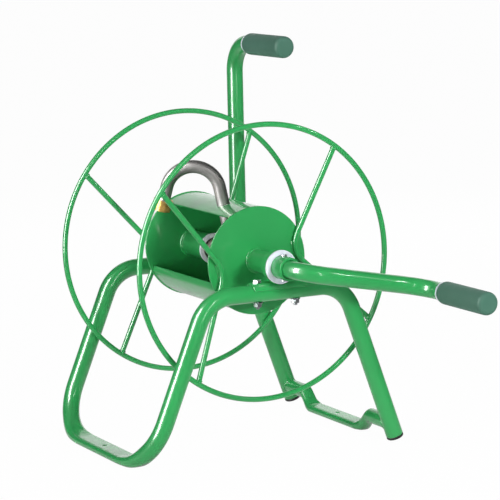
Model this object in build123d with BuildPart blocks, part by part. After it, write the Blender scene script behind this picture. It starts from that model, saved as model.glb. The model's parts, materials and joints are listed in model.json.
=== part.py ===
"""Portable garden hose reel: a bent tube stand, a crank-driven drum between two wire rings,
a fixed brace handle and a gooseneck that leads the water from the axle to the hose."""
import math
import os

from build123d import *

os.makedirs("parts", exist_ok=True)

# Driving dimensions, in millimetres and degrees. X runs across the stand, Y along the axle with the
# crank at -Y, Z up from the floor. The origin lies on the floor, midway between the anchor holes.
# Stations of the reel along the axle are counted from the reel's middle at REEL_Y.

# Reel
AXLE_HEIGHT = 278.3
AXLE_X = 9.2
REEL_Y = 6.0
DRUM_LENGTH = 206.0
DISC_DIAMETER = 158.0
DISC_THICKNESS = 2.8
DISC_RIM = 3.0
DISC_EDGE_ROUNDING = 0.8
SHELL_THICKNESS = 1.6
OPENING_TOP_ANGLE = 122.6
OPENING_BOTTOM_ANGLE = 210.1
LIP_HEIGHT = 9.5
RING_DIAMETER = 398.0
RING_FLARE = 24.9
ROD_DIAMETER = 7.94
RIGHT_SPOKE_ANGLES = (53.9, -30.0)
LEFT_SPOKE_ANGLES = (235.8, 144.8)
SPOKE_VERTEX_RADIUS = 55.0
SPOKE_BEND_RADIUS = 36.0

# Stand tube
TUBE_OD = 25.4
TUBE_WALL = 1.65
RING_CLEARANCE = 3.6
BAR_CORNER_SPACING = 220.0
FLOOR_RUN_SPACING = 391.5
TOP_BEND_RADIUS = 55.0
FLOOR_BEND_RADIUS = 64.0
FLAT_BEND_GAP = 0.97
FLAT_TAPER = 24.0
FLAT_WIDTH = 33.5
FLAT_HEIGHT = 11.5
ANCHOR_HOLE_DIAMETER = 7.2
PRESS_ARC = 45.0
PRESS_STEPS = 4
PLUG_BASE = 4.6
PLUG_ROUNDING = 3.0
PLUG_STEM = 14.0
PLUG_FIT = 0.1

# Cross tube between the two free legs
CROSS_OD = 22.2
CROSS_ARM_HEIGHT = 26.0
CROSS_ARM_LENGTH = 54.97
CROSS_FLAT_WIDTH = 29.0
CROSS_FLAT_TAPER = 34.0
CROSS_DROP_SHARE = 0.65

# Bolts
BOLT_DIAMETER = 6.2
BOLT_HOLE_CLEARANCE = 0.3
BOLT_HEAD_FLATS = 11.0
BOLT_HEAD_HEIGHT = 4.0
NUT_HEIGHT = 5.4
WASHER_DIAMETER = 14.0
WASHER_THICKNESS = 1.5
BOLT_TAIL = 3.0

# Axle, bearings and saddles
RUNNING_CLEARANCE = 0.08
SEAT_CLEARANCE = 0.05
END_PLAY = 0.2
CRANK_FIT = 0.6
AXLE_WALL = 3.4
AXLE_REACH = 26.0
AXLE_INSIDE = 4.0
WELD_LEG = 3.2
COLLAR_WALL = 4.3
COLLAR_LENGTH = 10.0
AXLE_COLLAR_WALL = 2.6
AXLE_COLLAR_LENGTH = 4.0
BUSHING_WALL = 2.35
HUB_BUSHING_SLEEVE = 11.0
BUSHING_FLANGE_LIP = 2.1
BUSHING_FLANGE_THICKNESS = 3.4
BUSHING_CHAMFER = 0.6
HOUSING_WALL = 3.15
HOUSING_LENGTH = 17.0
HOUSING_OUTSET = 13.0
COPE_DEPTH = 0.9
SADDLE_THICKNESS = 3.0
SADDLE_LENGTH = 84.0
SADDLE_HALF_WRAP = 70.0
SADDLE_BOLT_SPACING = 61.0
HUB_BUSHING_WALL = 1.3
HUB_WALL = 2.0
HUB_LENGTH = 72.0
HUB_FLANGE_LIP = 3.4
HUB_FLANGE_THICKNESS = 3.0
SPINDLE_RECESS = 6.0
SPINDLE_TAIL = 10.0

# Water way
PIPE_OD = 19.05
PIPE_WALL = 1.6
SWIVEL_WALL = 4.4
SWIVEL_LENGTH = 30.0
SWIVEL_GAP = 5.0
SWIVEL_OVERLAP = 12.0
SWIVEL_END_GAP = 2.0
GOOSENECK_Y = -35.4
GOOSENECK_ANGLE = 102.4
GOOSENECK_INNER_BEND = 32.0
GOOSENECK_RISE = 102.9
GOOSENECK_BEND_RADIUS = 39.5
GOOSENECK_PLANE_ANGLE = 60.0
GOOSENECK_TURN = 154.3
GOOSENECK_TAIL = 36.0
SHELL_HOLE_CLEARANCE = 0.5
FITTING_WALL = 5.0
FITTING_SHOULDER = 5.0
FITTING_SEAT = 9.0
THREAD_WALL = 3.9
THREAD_LENGTH = 11.0
THREAD_CHAMFER = 1.2
INLET_HEX_FLATS = 32.0
INLET_HEX_LENGTH = 10.0
INLET_PLUG_LENGTH = 14.0

# Crank
CRANK_THROW = 203.0
CRANK_ANGLE = -11.3
CRANK_ARM_OFFSET = 38.0
CRANK_BEND_RADIUS = 38.0
CRANK_INSERT = 50.0
CRANK_GRIP_GAP = 10.0
CRANK_PIN_DIAMETER = 6.0
CRANK_PIN_FROM_END = 18.0
CRANK_PIN_HEAD_DIAMETER = 9.0
CRANK_PIN_HEAD_HEIGHT = 2.4

# Grips
SLEEVE_WALL = 0.9
SLEEVE_FLANGE_LIP = 0.8
SLEEVE_FLANGE_THICKNESS = 3.2
GRIP_WALL = 2.82
GRIP_END = 6.0
GRIP_ROUNDING = 5.0
GRIP_BASE_ROUNDING = 2.4
GRIP_TUBE_GAP = 2.0
GRIP_LENGTH = 114.0

# Brace handle
BRACE_CORNER_OFFSET = 6.4
BRACE_FOOT_DROP = 90.0
BRACE_RISE = 295.5
BRACE_BEND_RADIUS = 45.0
BRACE_GRIP_GAP = 4.5
BRACE_BOLT_DROP = 62.8
BRACE_BOLT_SPACING = 20.0

# Worked-out values
TUBE_R = TUBE_OD / 2
TUBE_BORE_R = TUBE_R - TUBE_WALL
BOLT_R = BOLT_DIAMETER / 2
BOLT_HOLE_R = BOLT_R + BOLT_HOLE_CLEARANCE
ROD_R = ROD_DIAMETER / 2
RING_R = RING_DIAMETER / 2
DISC_R = DISC_DIAMETER / 2
SHELL_R = DISC_R - DISC_RIM
DISC_INNER_Y = DRUM_LENGTH / 2
DISC_OUTER_Y = DISC_INNER_Y + DISC_THICKNESS
RING_Y = DISC_OUTER_Y + RING_FLARE
AXLE_BORE_R = TUBE_R + CRANK_FIT
AXLE_R = AXLE_BORE_R + AXLE_WALL
BEARING_R = AXLE_R + RUNNING_CLEARANCE
HOUSING_BORE_R = AXLE_R + BUSHING_WALL
HOUSING_R = HOUSING_BORE_R + HOUSING_WALL
HUB_BORE_R = AXLE_R + HUB_BUSHING_WALL
HUB_R = HUB_BORE_R + HUB_WALL
COLLAR_R = AXLE_R + COLLAR_WALL
AXLE_COLLAR_R = AXLE_R + AXLE_COLLAR_WALL
SADDLE_R = TUBE_R + SADDLE_THICKNESS
PIPE_R = PIPE_OD / 2
PIPE_BORE_R = PIPE_R - PIPE_WALL
GRIP_BORE_R = TUBE_R + RUNNING_CLEARANCE + SLEEVE_WALL
GRIP_R = GRIP_BORE_R + GRIP_WALL
GRIP_TUBE_LENGTH = SLEEVE_FLANGE_THICKNESS + GRIP_LENGTH - GRIP_END - GRIP_TUBE_GAP
BOW_Y = REEL_Y + RING_Y + ROD_R + RING_CLEARANCE + TUBE_R
NEAR_BAR_Y = -BOW_Y - REEL_Y
FAR_BAR_Y = BOW_Y - REEL_Y
RUN_X = FLOOR_RUN_SPACING / 2
FLAT_LENGTH = 2 * (BOW_Y - FLOOR_BEND_RADIUS - FLAT_BEND_GAP - FLAT_TAPER)
CROSS_FLAT_LENGTH = 2 * (BOW_Y - CROSS_ARM_LENGTH - CROSS_FLAT_TAPER)
RIGHT_CORNER_X = AXLE_X + BAR_CORNER_SPACING / 2
LEFT_CORNER_X = AXLE_X - BAR_CORNER_SPACING / 2
BAR_Z = AXLE_HEIGHT - HOUSING_R - SADDLE_THICKNESS - TUBE_R + COPE_DEPTH
LEG_SLOPE = (RUN_X - RIGHT_CORNER_X) / (BAR_Z - CROSS_ARM_HEIGHT)
LEG_LEAN = math.atan(LEG_SLOPE)
NEAR_HOUSING_OUT = NEAR_BAR_Y - HOUSING_OUTSET
NEAR_HOUSING_IN = NEAR_HOUSING_OUT + HOUSING_LENGTH
FAR_HOUSING_OUT = FAR_BAR_Y + HOUSING_OUTSET
AXLE_END_Y = NEAR_HOUSING_OUT - BUSHING_FLANGE_THICKNESS - AXLE_REACH
PIN_Y = AXLE_END_Y + CRANK_PIN_FROM_END
CRANK_ARM_Y = AXLE_END_Y - CRANK_ARM_OFFSET
CRANK_GRIP_Y = CRANK_ARM_Y - CRANK_BEND_RADIUS - CRANK_GRIP_GAP
CRANK_X = CRANK_THROW * math.cos(math.radians(CRANK_ANGLE))
CRANK_Z = CRANK_THROW * math.sin(math.radians(CRANK_ANGLE))
HUB_NEAR_Y = DISC_OUTER_Y - HUB_LENGTH
HUB_STOP_Y = DISC_OUTER_Y + HUB_FLANGE_THICKNESS + END_PLAY
SPINDLE_NEAR_Y = HUB_NEAR_Y - HUB_FLANGE_THICKNESS + SPINDLE_RECESS
SPINDLE_FAR_Y = FAR_HOUSING_OUT + SPINDLE_TAIL
SWIVEL_FAR_Y = SPINDLE_NEAR_Y - SWIVEL_GAP
SWIVEL_NEAR_Y = SWIVEL_FAR_Y - SWIVEL_LENGTH
GOOSENECK_START_Y = SWIVEL_NEAR_Y + SWIVEL_OVERLAP
BRACE_X = RIGHT_CORNER_X + BRACE_CORNER_OFFSET
BRACE_Y = BOW_Y + TUBE_OD + SEAT_CLEARANCE
BRACE_GRIP_Y = BRACE_Y - BRACE_BEND_RADIUS - BRACE_GRIP_GAP
BRACE_TOP_Z = AXLE_HEIGHT + BRACE_RISE
SADDLE_BOLT_XS = (AXLE_X - SADDLE_BOLT_SPACING / 2, AXLE_X + SADDLE_BOLT_SPACING / 2)
BRACE_BOLT_ZS = (
    AXLE_HEIGHT - BRACE_BOLT_DROP - BRACE_BOLT_SPACING / 2,
    AXLE_HEIGHT - BRACE_BOLT_DROP + BRACE_BOLT_SPACING / 2,
)
PLUG_FLAT_R = TUBE_R - PLUG_ROUNDING
PLUG_BOTTOM_Z = PLUG_ROUNDING * (1 - math.cos(LEG_LEAN)) + PLUG_FLAT_R * math.sin(LEG_LEAN)
TUBE_END_Z = PLUG_BOTTOM_Z + PLUG_BASE * math.cos(LEG_LEAN)
LEFT_LEG_UP = Vector(LEFT_CORNER_X + RUN_X, 0, BAR_Z - TUBE_R).normalized()
LEFT_LEG_SIDE = Vector(LEFT_LEG_UP.Z, 0, -LEFT_LEG_UP.X)


def save(piece, name):
    """Label a finished piece and write it as its own STEP file."""
    piece.part.label = name
    export_step(piece.part, f"parts/{name}.step")


def reel_point(x, y, z):
    """Point given from the middle of the axle."""
    return (AXLE_X + x, REEL_Y + y, AXLE_HEIGHT + z)


def axle_plane(y):
    """Plane square to the axle at station y: its x along X, its y along Z, its normal towards -Y."""
    return Plane(origin=reel_point(0, y, 0), x_dir=(1, 0, 0), z_dir=(0, -1, 0))


def floor_section(x, y, z):
    """Plane square to a floor run, with its x along X and its y along Z."""
    return Plane(origin=(x, y, z), x_dir=(1, 0, 0), z_dir=(0, -1, 0))


def leg_x(z):
    """Place of a free leg's middle line at height z."""
    return RIGHT_CORNER_X + (BAR_Z - z) * LEG_SLOPE


def add_axle_ring(outer_r, inner_r, near_y, far_y):
    """Add a ring or tube about the axle between two stations to the part being built."""
    with BuildSketch(axle_plane(far_y)) as section:
        Circle(outer_r)
        Circle(inner_r, mode=Mode.SUBTRACT)
    extrude(section.sketch, amount=far_y - near_y)


def cut_axle_bore(bore_r, near_y, far_y):
    """Bore the part being built about the axle between two stations."""
    with BuildSketch(axle_plane(far_y)) as section:
        Circle(bore_r)
    extrude(section.sketch, amount=far_y - near_y, mode=Mode.SUBTRACT)


def save_axle_ring(outer_r, inner_r, near_y, far_y, name):
    """Make and write a plain ring or tube about the axle."""
    with BuildPart() as ring:
        add_axle_ring(outer_r, inner_r, near_y, far_y)
    save(ring, name)


def add_bent_tube(points, radii, outer_r, inner_r):
    """Sweep a tube along straight runs joined by arcs into the part being built."""
    with BuildLine() as route:
        FilletPolyline(*points, radius=radii)
    with BuildSketch(Plane(origin=route.line @ 0, z_dir=route.line % 0)) as section:
        Circle(outer_r)
        Circle(inner_r, mode=Mode.SUBTRACT)
    sweep(sections=section.sketch, path=route.line)


def tube_section(plane, width, height):
    """Section of a tube pressed to a width and height: four edges, round when the two are the same."""
    end_r = height / 2
    half_flat = (width - height) / 2
    top_x = max(half_flat, end_r / 2)
    top_z = end_r if half_flat > end_r / 2 else math.sqrt(end_r ** 2 - (top_x - half_flat) ** 2)
    side_x = half_flat + end_r
    with BuildSketch(plane) as section:
        with BuildLine():
            if top_z < end_r:
                ThreePointArc((top_x, top_z), (0, end_r), (-top_x, top_z))
            else:
                Line((top_x, top_z), (-top_x, top_z))
            ThreePointArc((-top_x, top_z), (-side_x, 0), (-top_x, -top_z))
            if top_z < end_r:
                ThreePointArc((-top_x, -top_z), (0, -end_r), (top_x, -top_z))
            else:
                Line((-top_x, -top_z), (top_x, -top_z))
            ThreePointArc((top_x, -top_z), (side_x, 0), (top_x, top_z))
        make_face()
    return section.sketch


def smooth_step(value):
    """Rise from 0 to 1 with level ends, for values from 0 to 1."""
    value = min(max(value, 0.0), 1.0)
    return value ** 2 * (3 - 2 * value)


def floor_bend_plane(side, turn, sink):
    """Section plane of a left floor bend, turned back from the run by an angle and sunk towards the floor."""
    outward = Vector(0, side, 0)
    start = Vector(-RUN_X, side * (BOW_Y - FLOOR_BEND_RADIUS), TUBE_R)
    inward = LEFT_LEG_UP * math.cos(turn) - outward * math.sin(turn)
    point = start + (LEFT_LEG_UP - inward) * FLOOR_BEND_RADIUS
    across = LEFT_LEG_SIDE * LEFT_LEG_SIDE.X + inward * LEFT_LEG_UP.X
    above = LEFT_LEG_SIDE * LEFT_LEG_SIDE.Z + inward * LEFT_LEG_UP.Z
    along = outward * math.cos(turn) + LEFT_LEG_UP * math.sin(turn)
    return Plane(origin=point - above * sink, x_dir=across, z_dir=along * -side)


def left_section(side, step, inset):
    """Section of the left run between its flat and the round tube inside the floor bend."""
    gap = FLAT_TAPER + FLAT_BEND_GAP
    way = (gap + FLOOR_BEND_RADIUS * math.radians(PRESS_ARC)) * step / PRESS_STEPS
    pressed = 1 - smooth_step(step / PRESS_STEPS)
    width = TUBE_OD + (FLAT_WIDTH - TUBE_OD) * pressed
    height = TUBE_OD + (FLAT_HEIGHT - TUBE_OD) * pressed
    if way > gap:
        plane = floor_bend_plane(side, (way - gap) / FLOOR_BEND_RADIUS, TUBE_R - height / 2)
    else:
        plane = floor_section(-RUN_X, side * (FLAT_LENGTH / 2 + way), height / 2)
    return tube_section(plane, width - 2 * inset, height - 2 * inset)


def cross_section(side, step, inset):
    """Section of the cross tube between its flat and its arm: it drops to the floor, then is pressed flat."""
    left = 1 - step / PRESS_STEPS
    dropped = smooth_step(left / CROSS_DROP_SHARE)
    pressed = smooth_step(1 - (1 - left) / CROSS_DROP_SHARE)
    width = CROSS_OD + (CROSS_FLAT_WIDTH - CROSS_OD) * pressed
    height = CROSS_OD + (FLAT_HEIGHT - CROSS_OD) * pressed
    middle_z = height / 2 + (CROSS_ARM_HEIGHT - CROSS_OD / 2) * (1 - dropped)
    plane = floor_section(RUN_X, side * (CROSS_FLAT_LENGTH / 2 + CROSS_FLAT_TAPER * (1 - left)), middle_z)
    return tube_section(plane, width - 2 * inset, height - 2 * inset)


def pressed_run(x, length, width, end_section):
    """Hollow run pressed flat on the floor, with smooth ends through sections and an anchor hole."""
    with BuildPart() as run:
        for inset, mode in ((0.0, Mode.ADD), (TUBE_WALL, Mode.SUBTRACT)):
            for side in (-1, 1):
                sections = [end_section(side, step, inset) for step in range(PRESS_STEPS + 1)]
                loft(sections=sections, mode=mode)
            with BuildSketch(floor_section(x, length / 2, FLAT_HEIGHT / 2)):
                SlotOverall(width - 2 * inset, FLAT_HEIGHT - 2 * inset)
            extrude(amount=length, mode=mode)
        with Locations((x, 0, 0)):
            Cylinder(ANCHOR_HOLE_DIAMETER / 2, 4 * FLAT_HEIGHT, mode=Mode.SUBTRACT)
    return run


def add_bow(side):
    """Sweep one bow into the part being built, from its free foot to where its floor bend is pressed."""
    y = side * BOW_Y
    bend_top = floor_bend_plane(side, math.pi / 2, 0).origin
    bend_end = math.radians(PRESS_ARC)
    bend_middle = floor_bend_plane(side, (math.pi / 2 + bend_end) / 2, 0).origin
    with BuildLine() as route:
        FilletPolyline(
            (leg_x(TUBE_END_Z), y, TUBE_END_Z),
            (RIGHT_CORNER_X, y, BAR_Z),
            (LEFT_CORNER_X, y, BAR_Z),
            bend_top,
            radius=TOP_BEND_RADIUS,
        )
        ThreePointArc(bend_top, bend_middle, floor_bend_plane(side, bend_end, 0).origin)
    with BuildSketch(Plane(origin=route.line @ 0, z_dir=route.line % 0)) as section:
        Circle(TUBE_R)
        Circle(TUBE_BORE_R, mode=Mode.SUBTRACT)
    sweep(sections=section.sketch, path=route.line)


# Frame tube: two bows joined by a flattened run on the floor
left_run = pressed_run(-RUN_X, FLAT_LENGTH, FLAT_WIDTH, left_section)
with BuildPart() as frame_tube:
    for side in (-1, 1):
        add_bow(side)
    add(left_run.part)
    for side in (-1, 1):
        for bolt_x in SADDLE_BOLT_XS:
            with Locations((bolt_x, side * BOW_Y, BAR_Z)):
                Cylinder(BOLT_HOLE_R, 2 * TUBE_OD, mode=Mode.SUBTRACT)
    for bolt_z in BRACE_BOLT_ZS:
        with Locations(Location((BRACE_X, BOW_Y, bolt_z), (90, 0, 0))):
            Cylinder(BOLT_HOLE_R, 2 * TUBE_OD, mode=Mode.SUBTRACT)
save(frame_tube, "frame_tube")

# Cross tube: low arms off the free legs, dropping to a flattened run on the floor
cross_r = CROSS_OD / 2
right_run = pressed_run(RUN_X, CROSS_FLAT_LENGTH, CROSS_FLAT_WIDTH, cross_section)
with BuildPart() as cross_tube:
    for side in (-1, 1):
        arm_end = side * (CROSS_FLAT_LENGTH / 2 + CROSS_FLAT_TAPER)
        with BuildSketch(floor_section(RUN_X, max(arm_end, side * BOW_Y), CROSS_ARM_HEIGHT)):
            Circle(cross_r)
            Circle(cross_r - TUBE_WALL, mode=Mode.SUBTRACT)
        extrude(amount=abs(side * BOW_Y - arm_end))
    add(right_run.part)
    for side in (-1, 1):
        with Locations(Location((RUN_X, side * BOW_Y, CROSS_ARM_HEIGHT), (0, -math.degrees(LEG_LEAN), 0))):
            Cylinder(TUBE_R + SEAT_CLEARANCE, 6 * CROSS_OD, mode=Mode.SUBTRACT)
save(cross_tube, "cross_tube")

# Foot plugs in the two free legs, standing on their lowest edge
for side, name in ((-1, "near_foot_plug"), (1, "far_foot_plug")):
    foot = (leg_x(PLUG_BOTTOM_Z), side * BOW_Y, PLUG_BOTTOM_Z)
    leg_plane = Plane(origin=foot, x_dir=(0, 1, 0), z_dir=(-math.sin(LEG_LEAN), 0, math.cos(LEG_LEAN)))
    with BuildPart() as plug:
        with BuildSketch(leg_plane):
            Circle(TUBE_R)
        extrude(amount=PLUG_BASE)
        fillet(plug.edges().filter_by(GeomType.CIRCLE).sort_by(Axis.Z)[0], PLUG_ROUNDING)
        with BuildSketch(leg_plane.offset(PLUG_BASE)):
            Circle(TUBE_BORE_R - PLUG_FIT)
        extrude(amount=PLUG_STEM)
    save(plug, name)

# Saddle plates wrapped over the top bars
wrap = math.radians(SADDLE_HALF_WRAP)
saddle_edge_y = 4 * SADDLE_R * math.sin(wrap)
saddle_edge_z = 4 * SADDLE_R * math.cos(wrap)
for side, name in ((-1, "near_saddle"), (1, "far_saddle")):
    saddle_start = (AXLE_X - SADDLE_LENGTH / 2, side * BOW_Y, BAR_Z)
    with BuildPart() as saddle:
        with BuildSketch(Plane(origin=saddle_start, x_dir=(0, 1, 0), z_dir=(1, 0, 0))):
            Circle(SADDLE_R)
            Circle(TUBE_R + SEAT_CLEARANCE, mode=Mode.SUBTRACT)
            with BuildLine():
                Polyline(
                    (0, 0),
                    (saddle_edge_y, saddle_edge_z),
                    (saddle_edge_y, -saddle_edge_y),
                    (-saddle_edge_y, -saddle_edge_y),
                    (-saddle_edge_y, saddle_edge_z),
                    close=True,
                )
            make_face(mode=Mode.SUBTRACT)
        extrude(amount=SADDLE_LENGTH)
        for bolt_x in SADDLE_BOLT_XS:
            with Locations((bolt_x, side * BOW_Y, BAR_Z)):
                Cylinder(BOLT_HOLE_R, 4 * TUBE_OD, mode=Mode.SUBTRACT)
    save(saddle, name)


def bolt_set(head_seats, shank_dir, grip, name):
    """Hex bolts with washer and nut, each head on its seat and its shank along shank_dir."""
    with BuildPart() as bolts:
        for point in head_seats:
            seat = Plane(origin=point, z_dir=shank_dir)
            with BuildSketch(seat):
                RegularPolygon(BOLT_HEAD_FLATS / 2, 6, major_radius=False)
            extrude(amount=-BOLT_HEAD_HEIGHT)
            with BuildSketch(seat):
                Circle(BOLT_R)
            extrude(amount=grip + WASHER_THICKNESS + NUT_HEIGHT + BOLT_TAIL)
            with BuildSketch(seat.offset(grip)):
                Circle(WASHER_DIAMETER / 2)
            extrude(amount=WASHER_THICKNESS)
            with BuildSketch(seat.offset(grip + WASHER_THICKNESS)):
                RegularPolygon(BOLT_HEAD_FLATS / 2, 6, major_radius=False)
            extrude(amount=NUT_HEIGHT)
    save(bolts, name)


for side, name in ((-1, "near_saddle_bolts"), (1, "far_saddle_bolts")):
    seats = [(bolt_x, side * BOW_Y, BAR_Z + SADDLE_R) for bolt_x in SADDLE_BOLT_XS]
    bolt_set(seats, (0, 0, -1), SADDLE_R + TUBE_R, name)


def add_saddle_cope(side):
    """Cut the part being built where the saddle's rounded back stands."""
    with Locations(Location((AXLE_X, side * BOW_Y, BAR_Z), (0, 90, 0))):
        Cylinder(SADDLE_R + SEAT_CLEARANCE, 2 * SADDLE_LENGTH, mode=Mode.SUBTRACT)


def flanged_bushing(seat_y, outward, sleeve_r, sleeve_length, flange_r, flange_thickness, name):
    """Bushing on the axle line with its flange on a seat; outward is -1 or 1 along the axle."""
    with BuildPart() as bushing:
        with BuildSketch(axle_plane(max(seat_y, seat_y + outward * flange_thickness))):
            Circle(flange_r)
            Circle(BEARING_R, mode=Mode.SUBTRACT)
        extrude(amount=flange_thickness)
        chamfer(bushing.edges().filter_by(GeomType.CIRCLE).sort_by(SortBy.RADIUS)[-2:], BUSHING_CHAMFER)
        with BuildSketch(axle_plane(max(seat_y, seat_y - outward * sleeve_length))):
            Circle(sleeve_r)
            Circle(BEARING_R, mode=Mode.SUBTRACT)
        extrude(amount=sleeve_length)
    save(bushing, name)


# Near bearing housing, with a flanged bushing for the axle
with BuildPart() as near_housing:
    add_axle_ring(HOUSING_R, HOUSING_BORE_R, NEAR_HOUSING_OUT, NEAR_HOUSING_IN)
    add_saddle_cope(-1)
save(near_housing, "near_housing")
flange_r = HOUSING_R + BUSHING_FLANGE_LIP
flanged_bushing(
    NEAR_HOUSING_OUT, -1, HOUSING_BORE_R, HOUSING_LENGTH, flange_r, BUSHING_FLANGE_THICKNESS, "near_bushing")

# Far housing, holding the fixed spindle that the hub turns on
with BuildPart() as far_housing:
    add_axle_ring(HOUSING_R, AXLE_R, FAR_HOUSING_OUT - HOUSING_LENGTH, FAR_HOUSING_OUT)
    add_saddle_cope(1)
save(far_housing, "far_housing")
save_axle_ring(AXLE_R, AXLE_BORE_R, SPINDLE_NEAR_Y, SPINDLE_FAR_Y, "spindle")
save_axle_ring(COLLAR_R, AXLE_R, HUB_STOP_Y, HUB_STOP_Y + COLLAR_LENGTH, "spindle_collar")

# Water pipe through the spindle and the inlet fitting at its far end
save_axle_ring(PIPE_R, PIPE_BORE_R, SWIVEL_FAR_Y - SWIVEL_OVERLAP, SPINDLE_FAR_Y, "water_pipe")
thread_r = PIPE_R + THREAD_WALL
with BuildPart() as inlet_fitting:
    with BuildSketch(axle_plane(SPINDLE_FAR_Y)):
        Circle(AXLE_BORE_R - SEAT_CLEARANCE)
        Circle(PIPE_R + SEAT_CLEARANCE, mode=Mode.SUBTRACT)
    extrude(amount=INLET_PLUG_LENGTH)
    with BuildSketch(axle_plane(SPINDLE_FAR_Y + INLET_HEX_LENGTH)):
        RegularPolygon(INLET_HEX_FLATS / 2, 6, major_radius=False)
        Circle(PIPE_BORE_R, mode=Mode.SUBTRACT)
    extrude(amount=INLET_HEX_LENGTH)
    with BuildSketch(axle_plane(SPINDLE_FAR_Y + INLET_HEX_LENGTH + THREAD_LENGTH)):
        Circle(thread_r)
        Circle(PIPE_BORE_R, mode=Mode.SUBTRACT)
    extrude(amount=THREAD_LENGTH)
    outer_rim = inlet_fitting.edges().filter_by(GeomType.CIRCLE).filter_by(lambda e: e.radius > PIPE_R)
    chamfer(outer_rim.sort_by(Axis.Y)[-1], THREAD_CHAMFER)
save(inlet_fitting, "inlet_fitting")


def grip_pieces(base, name):
    """Nylon sleeve and closed grip on a tube that points towards -Y from its base point."""
    base_plane = Plane(origin=base, x_dir=(1, 0, 0), z_dir=(0, -1, 0))
    with BuildPart() as sleeve:
        with BuildSketch(base_plane):
            Circle(GRIP_BORE_R + SLEEVE_FLANGE_LIP)
            Circle(TUBE_R + RUNNING_CLEARANCE, mode=Mode.SUBTRACT)
        extrude(amount=SLEEVE_FLANGE_THICKNESS)
        with BuildSketch(base_plane):
            Circle(GRIP_BORE_R)
            Circle(TUBE_R + RUNNING_CLEARANCE, mode=Mode.SUBTRACT)
        extrude(amount=GRIP_LENGTH - GRIP_END)
    save(sleeve, f"{name}_sleeve")
    grip_plane = base_plane.offset(SLEEVE_FLANGE_THICKNESS)
    with BuildPart() as grip:
        with BuildSketch(grip_plane):
            Circle(GRIP_R)
        extrude(amount=GRIP_LENGTH)
        fillet(grip.edges().filter_by(GeomType.CIRCLE).sort_by(Axis.Y)[0], GRIP_ROUNDING)
        fillet(grip.edges().filter_by(GeomType.CIRCLE).sort_by(Axis.Y)[-1], GRIP_BASE_ROUNDING)
        with BuildSketch(grip_plane):
            Circle(GRIP_BORE_R)
        extrude(amount=GRIP_LENGTH - GRIP_END, mode=Mode.SUBTRACT)
    save(grip, f"{name}_grip")


# Brace handle: an upright tube bolted to the outside of the far bow, bent over towards the crank side
brace_end_y = BRACE_GRIP_Y - GRIP_TUBE_LENGTH
brace_points = [
    (BRACE_X, BRACE_Y, AXLE_HEIGHT - BRACE_FOOT_DROP),
    (BRACE_X, BRACE_Y, BRACE_TOP_Z),
    (BRACE_X, brace_end_y, BRACE_TOP_Z),
]
with BuildPart() as brace_tube:
    add_bent_tube(brace_points, [BRACE_BEND_RADIUS], TUBE_R, TUBE_BORE_R)
    for bolt_z in BRACE_BOLT_ZS:
        with Locations(Location((BRACE_X, BRACE_Y, bolt_z), (90, 0, 0))):
            Cylinder(BOLT_HOLE_R, 2 * TUBE_OD, mode=Mode.SUBTRACT)
save(brace_tube, "brace_tube")
brace_seats = [(BRACE_X, BOW_Y - TUBE_R, bolt_z) for bolt_z in BRACE_BOLT_ZS]
bolt_set(brace_seats, (0, 1, 0), BRACE_Y - BOW_Y + TUBE_OD, "brace_bolts")
grip_pieces((BRACE_X, BRACE_GRIP_Y, BRACE_TOP_Z), "brace")

# Drum: two end discs and an open sheet shell between them
for near_y, bore_r, name in ((-DISC_OUTER_Y, AXLE_R, "near_disc"), (DISC_INNER_Y, HUB_R, "far_disc")):
    with BuildPart() as disc:
        add_axle_ring(DISC_R, bore_r, near_y, near_y + DISC_THICKNESS)
        fillet(disc.edges().filter_by(GeomType.CIRCLE).sort_by(SortBy.RADIUS)[-2:], DISC_EDGE_ROUNDING)
    save(disc, name)

goose_turn = math.radians(GOOSENECK_ANGLE)
goose_out = Vector(math.cos(goose_turn), 0, math.sin(goose_turn))
goose_along = Vector(-math.sin(goose_turn), 0, math.cos(goose_turn))
goose_root = Vector(*reel_point(0, GOOSENECK_Y, 0))
open_angles = (OPENING_TOP_ANGLE, (OPENING_TOP_ANGLE + OPENING_BOTTOM_ANGLE) / 2, OPENING_BOTTOM_ANGLE)
open_rays = [
    (2 * SHELL_R * math.cos(math.radians(angle)), 2 * SHELL_R * math.sin(math.radians(angle)))
    for angle in open_angles
]
crease_x = SHELL_R * math.cos(math.radians(OPENING_BOTTOM_ANGLE))
crease_z = SHELL_R * math.sin(math.radians(OPENING_BOTTOM_ANGLE))
with BuildPart() as drum_shell:
    with BuildSketch(axle_plane(DISC_INNER_Y)):
        Circle(SHELL_R)
        Circle(SHELL_R - SHELL_THICKNESS, mode=Mode.SUBTRACT)
        with BuildLine():
            Polyline((0, 0), *open_rays, close=True)
        make_face(mode=Mode.SUBTRACT)
        with BuildLine():
            Polyline(
                (crease_x, crease_z - SHELL_THICKNESS),
                (crease_x + SHELL_THICKNESS, crease_z - SHELL_THICKNESS),
                (crease_x + SHELL_THICKNESS, crease_z + LIP_HEIGHT),
                (crease_x, crease_z + LIP_HEIGHT),
                close=True,
            )
        make_face()
    extrude(amount=DRUM_LENGTH)
    with BuildSketch(Plane(origin=goose_root, x_dir=(0, 1, 0), z_dir=goose_out)):
        Circle(PIPE_R + SHELL_HOLE_CLEARANCE)
    extrude(amount=2 * SHELL_R, mode=Mode.SUBTRACT)
save(drum_shell, "drum_shell")

# Rings and V-shaped spoke rods, the rods welded on the outer faces of the discs
rings = {}
for side, name in ((-1, "near_ring"), (1, "far_ring")):
    with BuildPart(axle_plane(side * RING_Y)) as ring:
        Torus(RING_R, ROD_R)
    save(ring, name)
    rings[side] = ring


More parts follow.
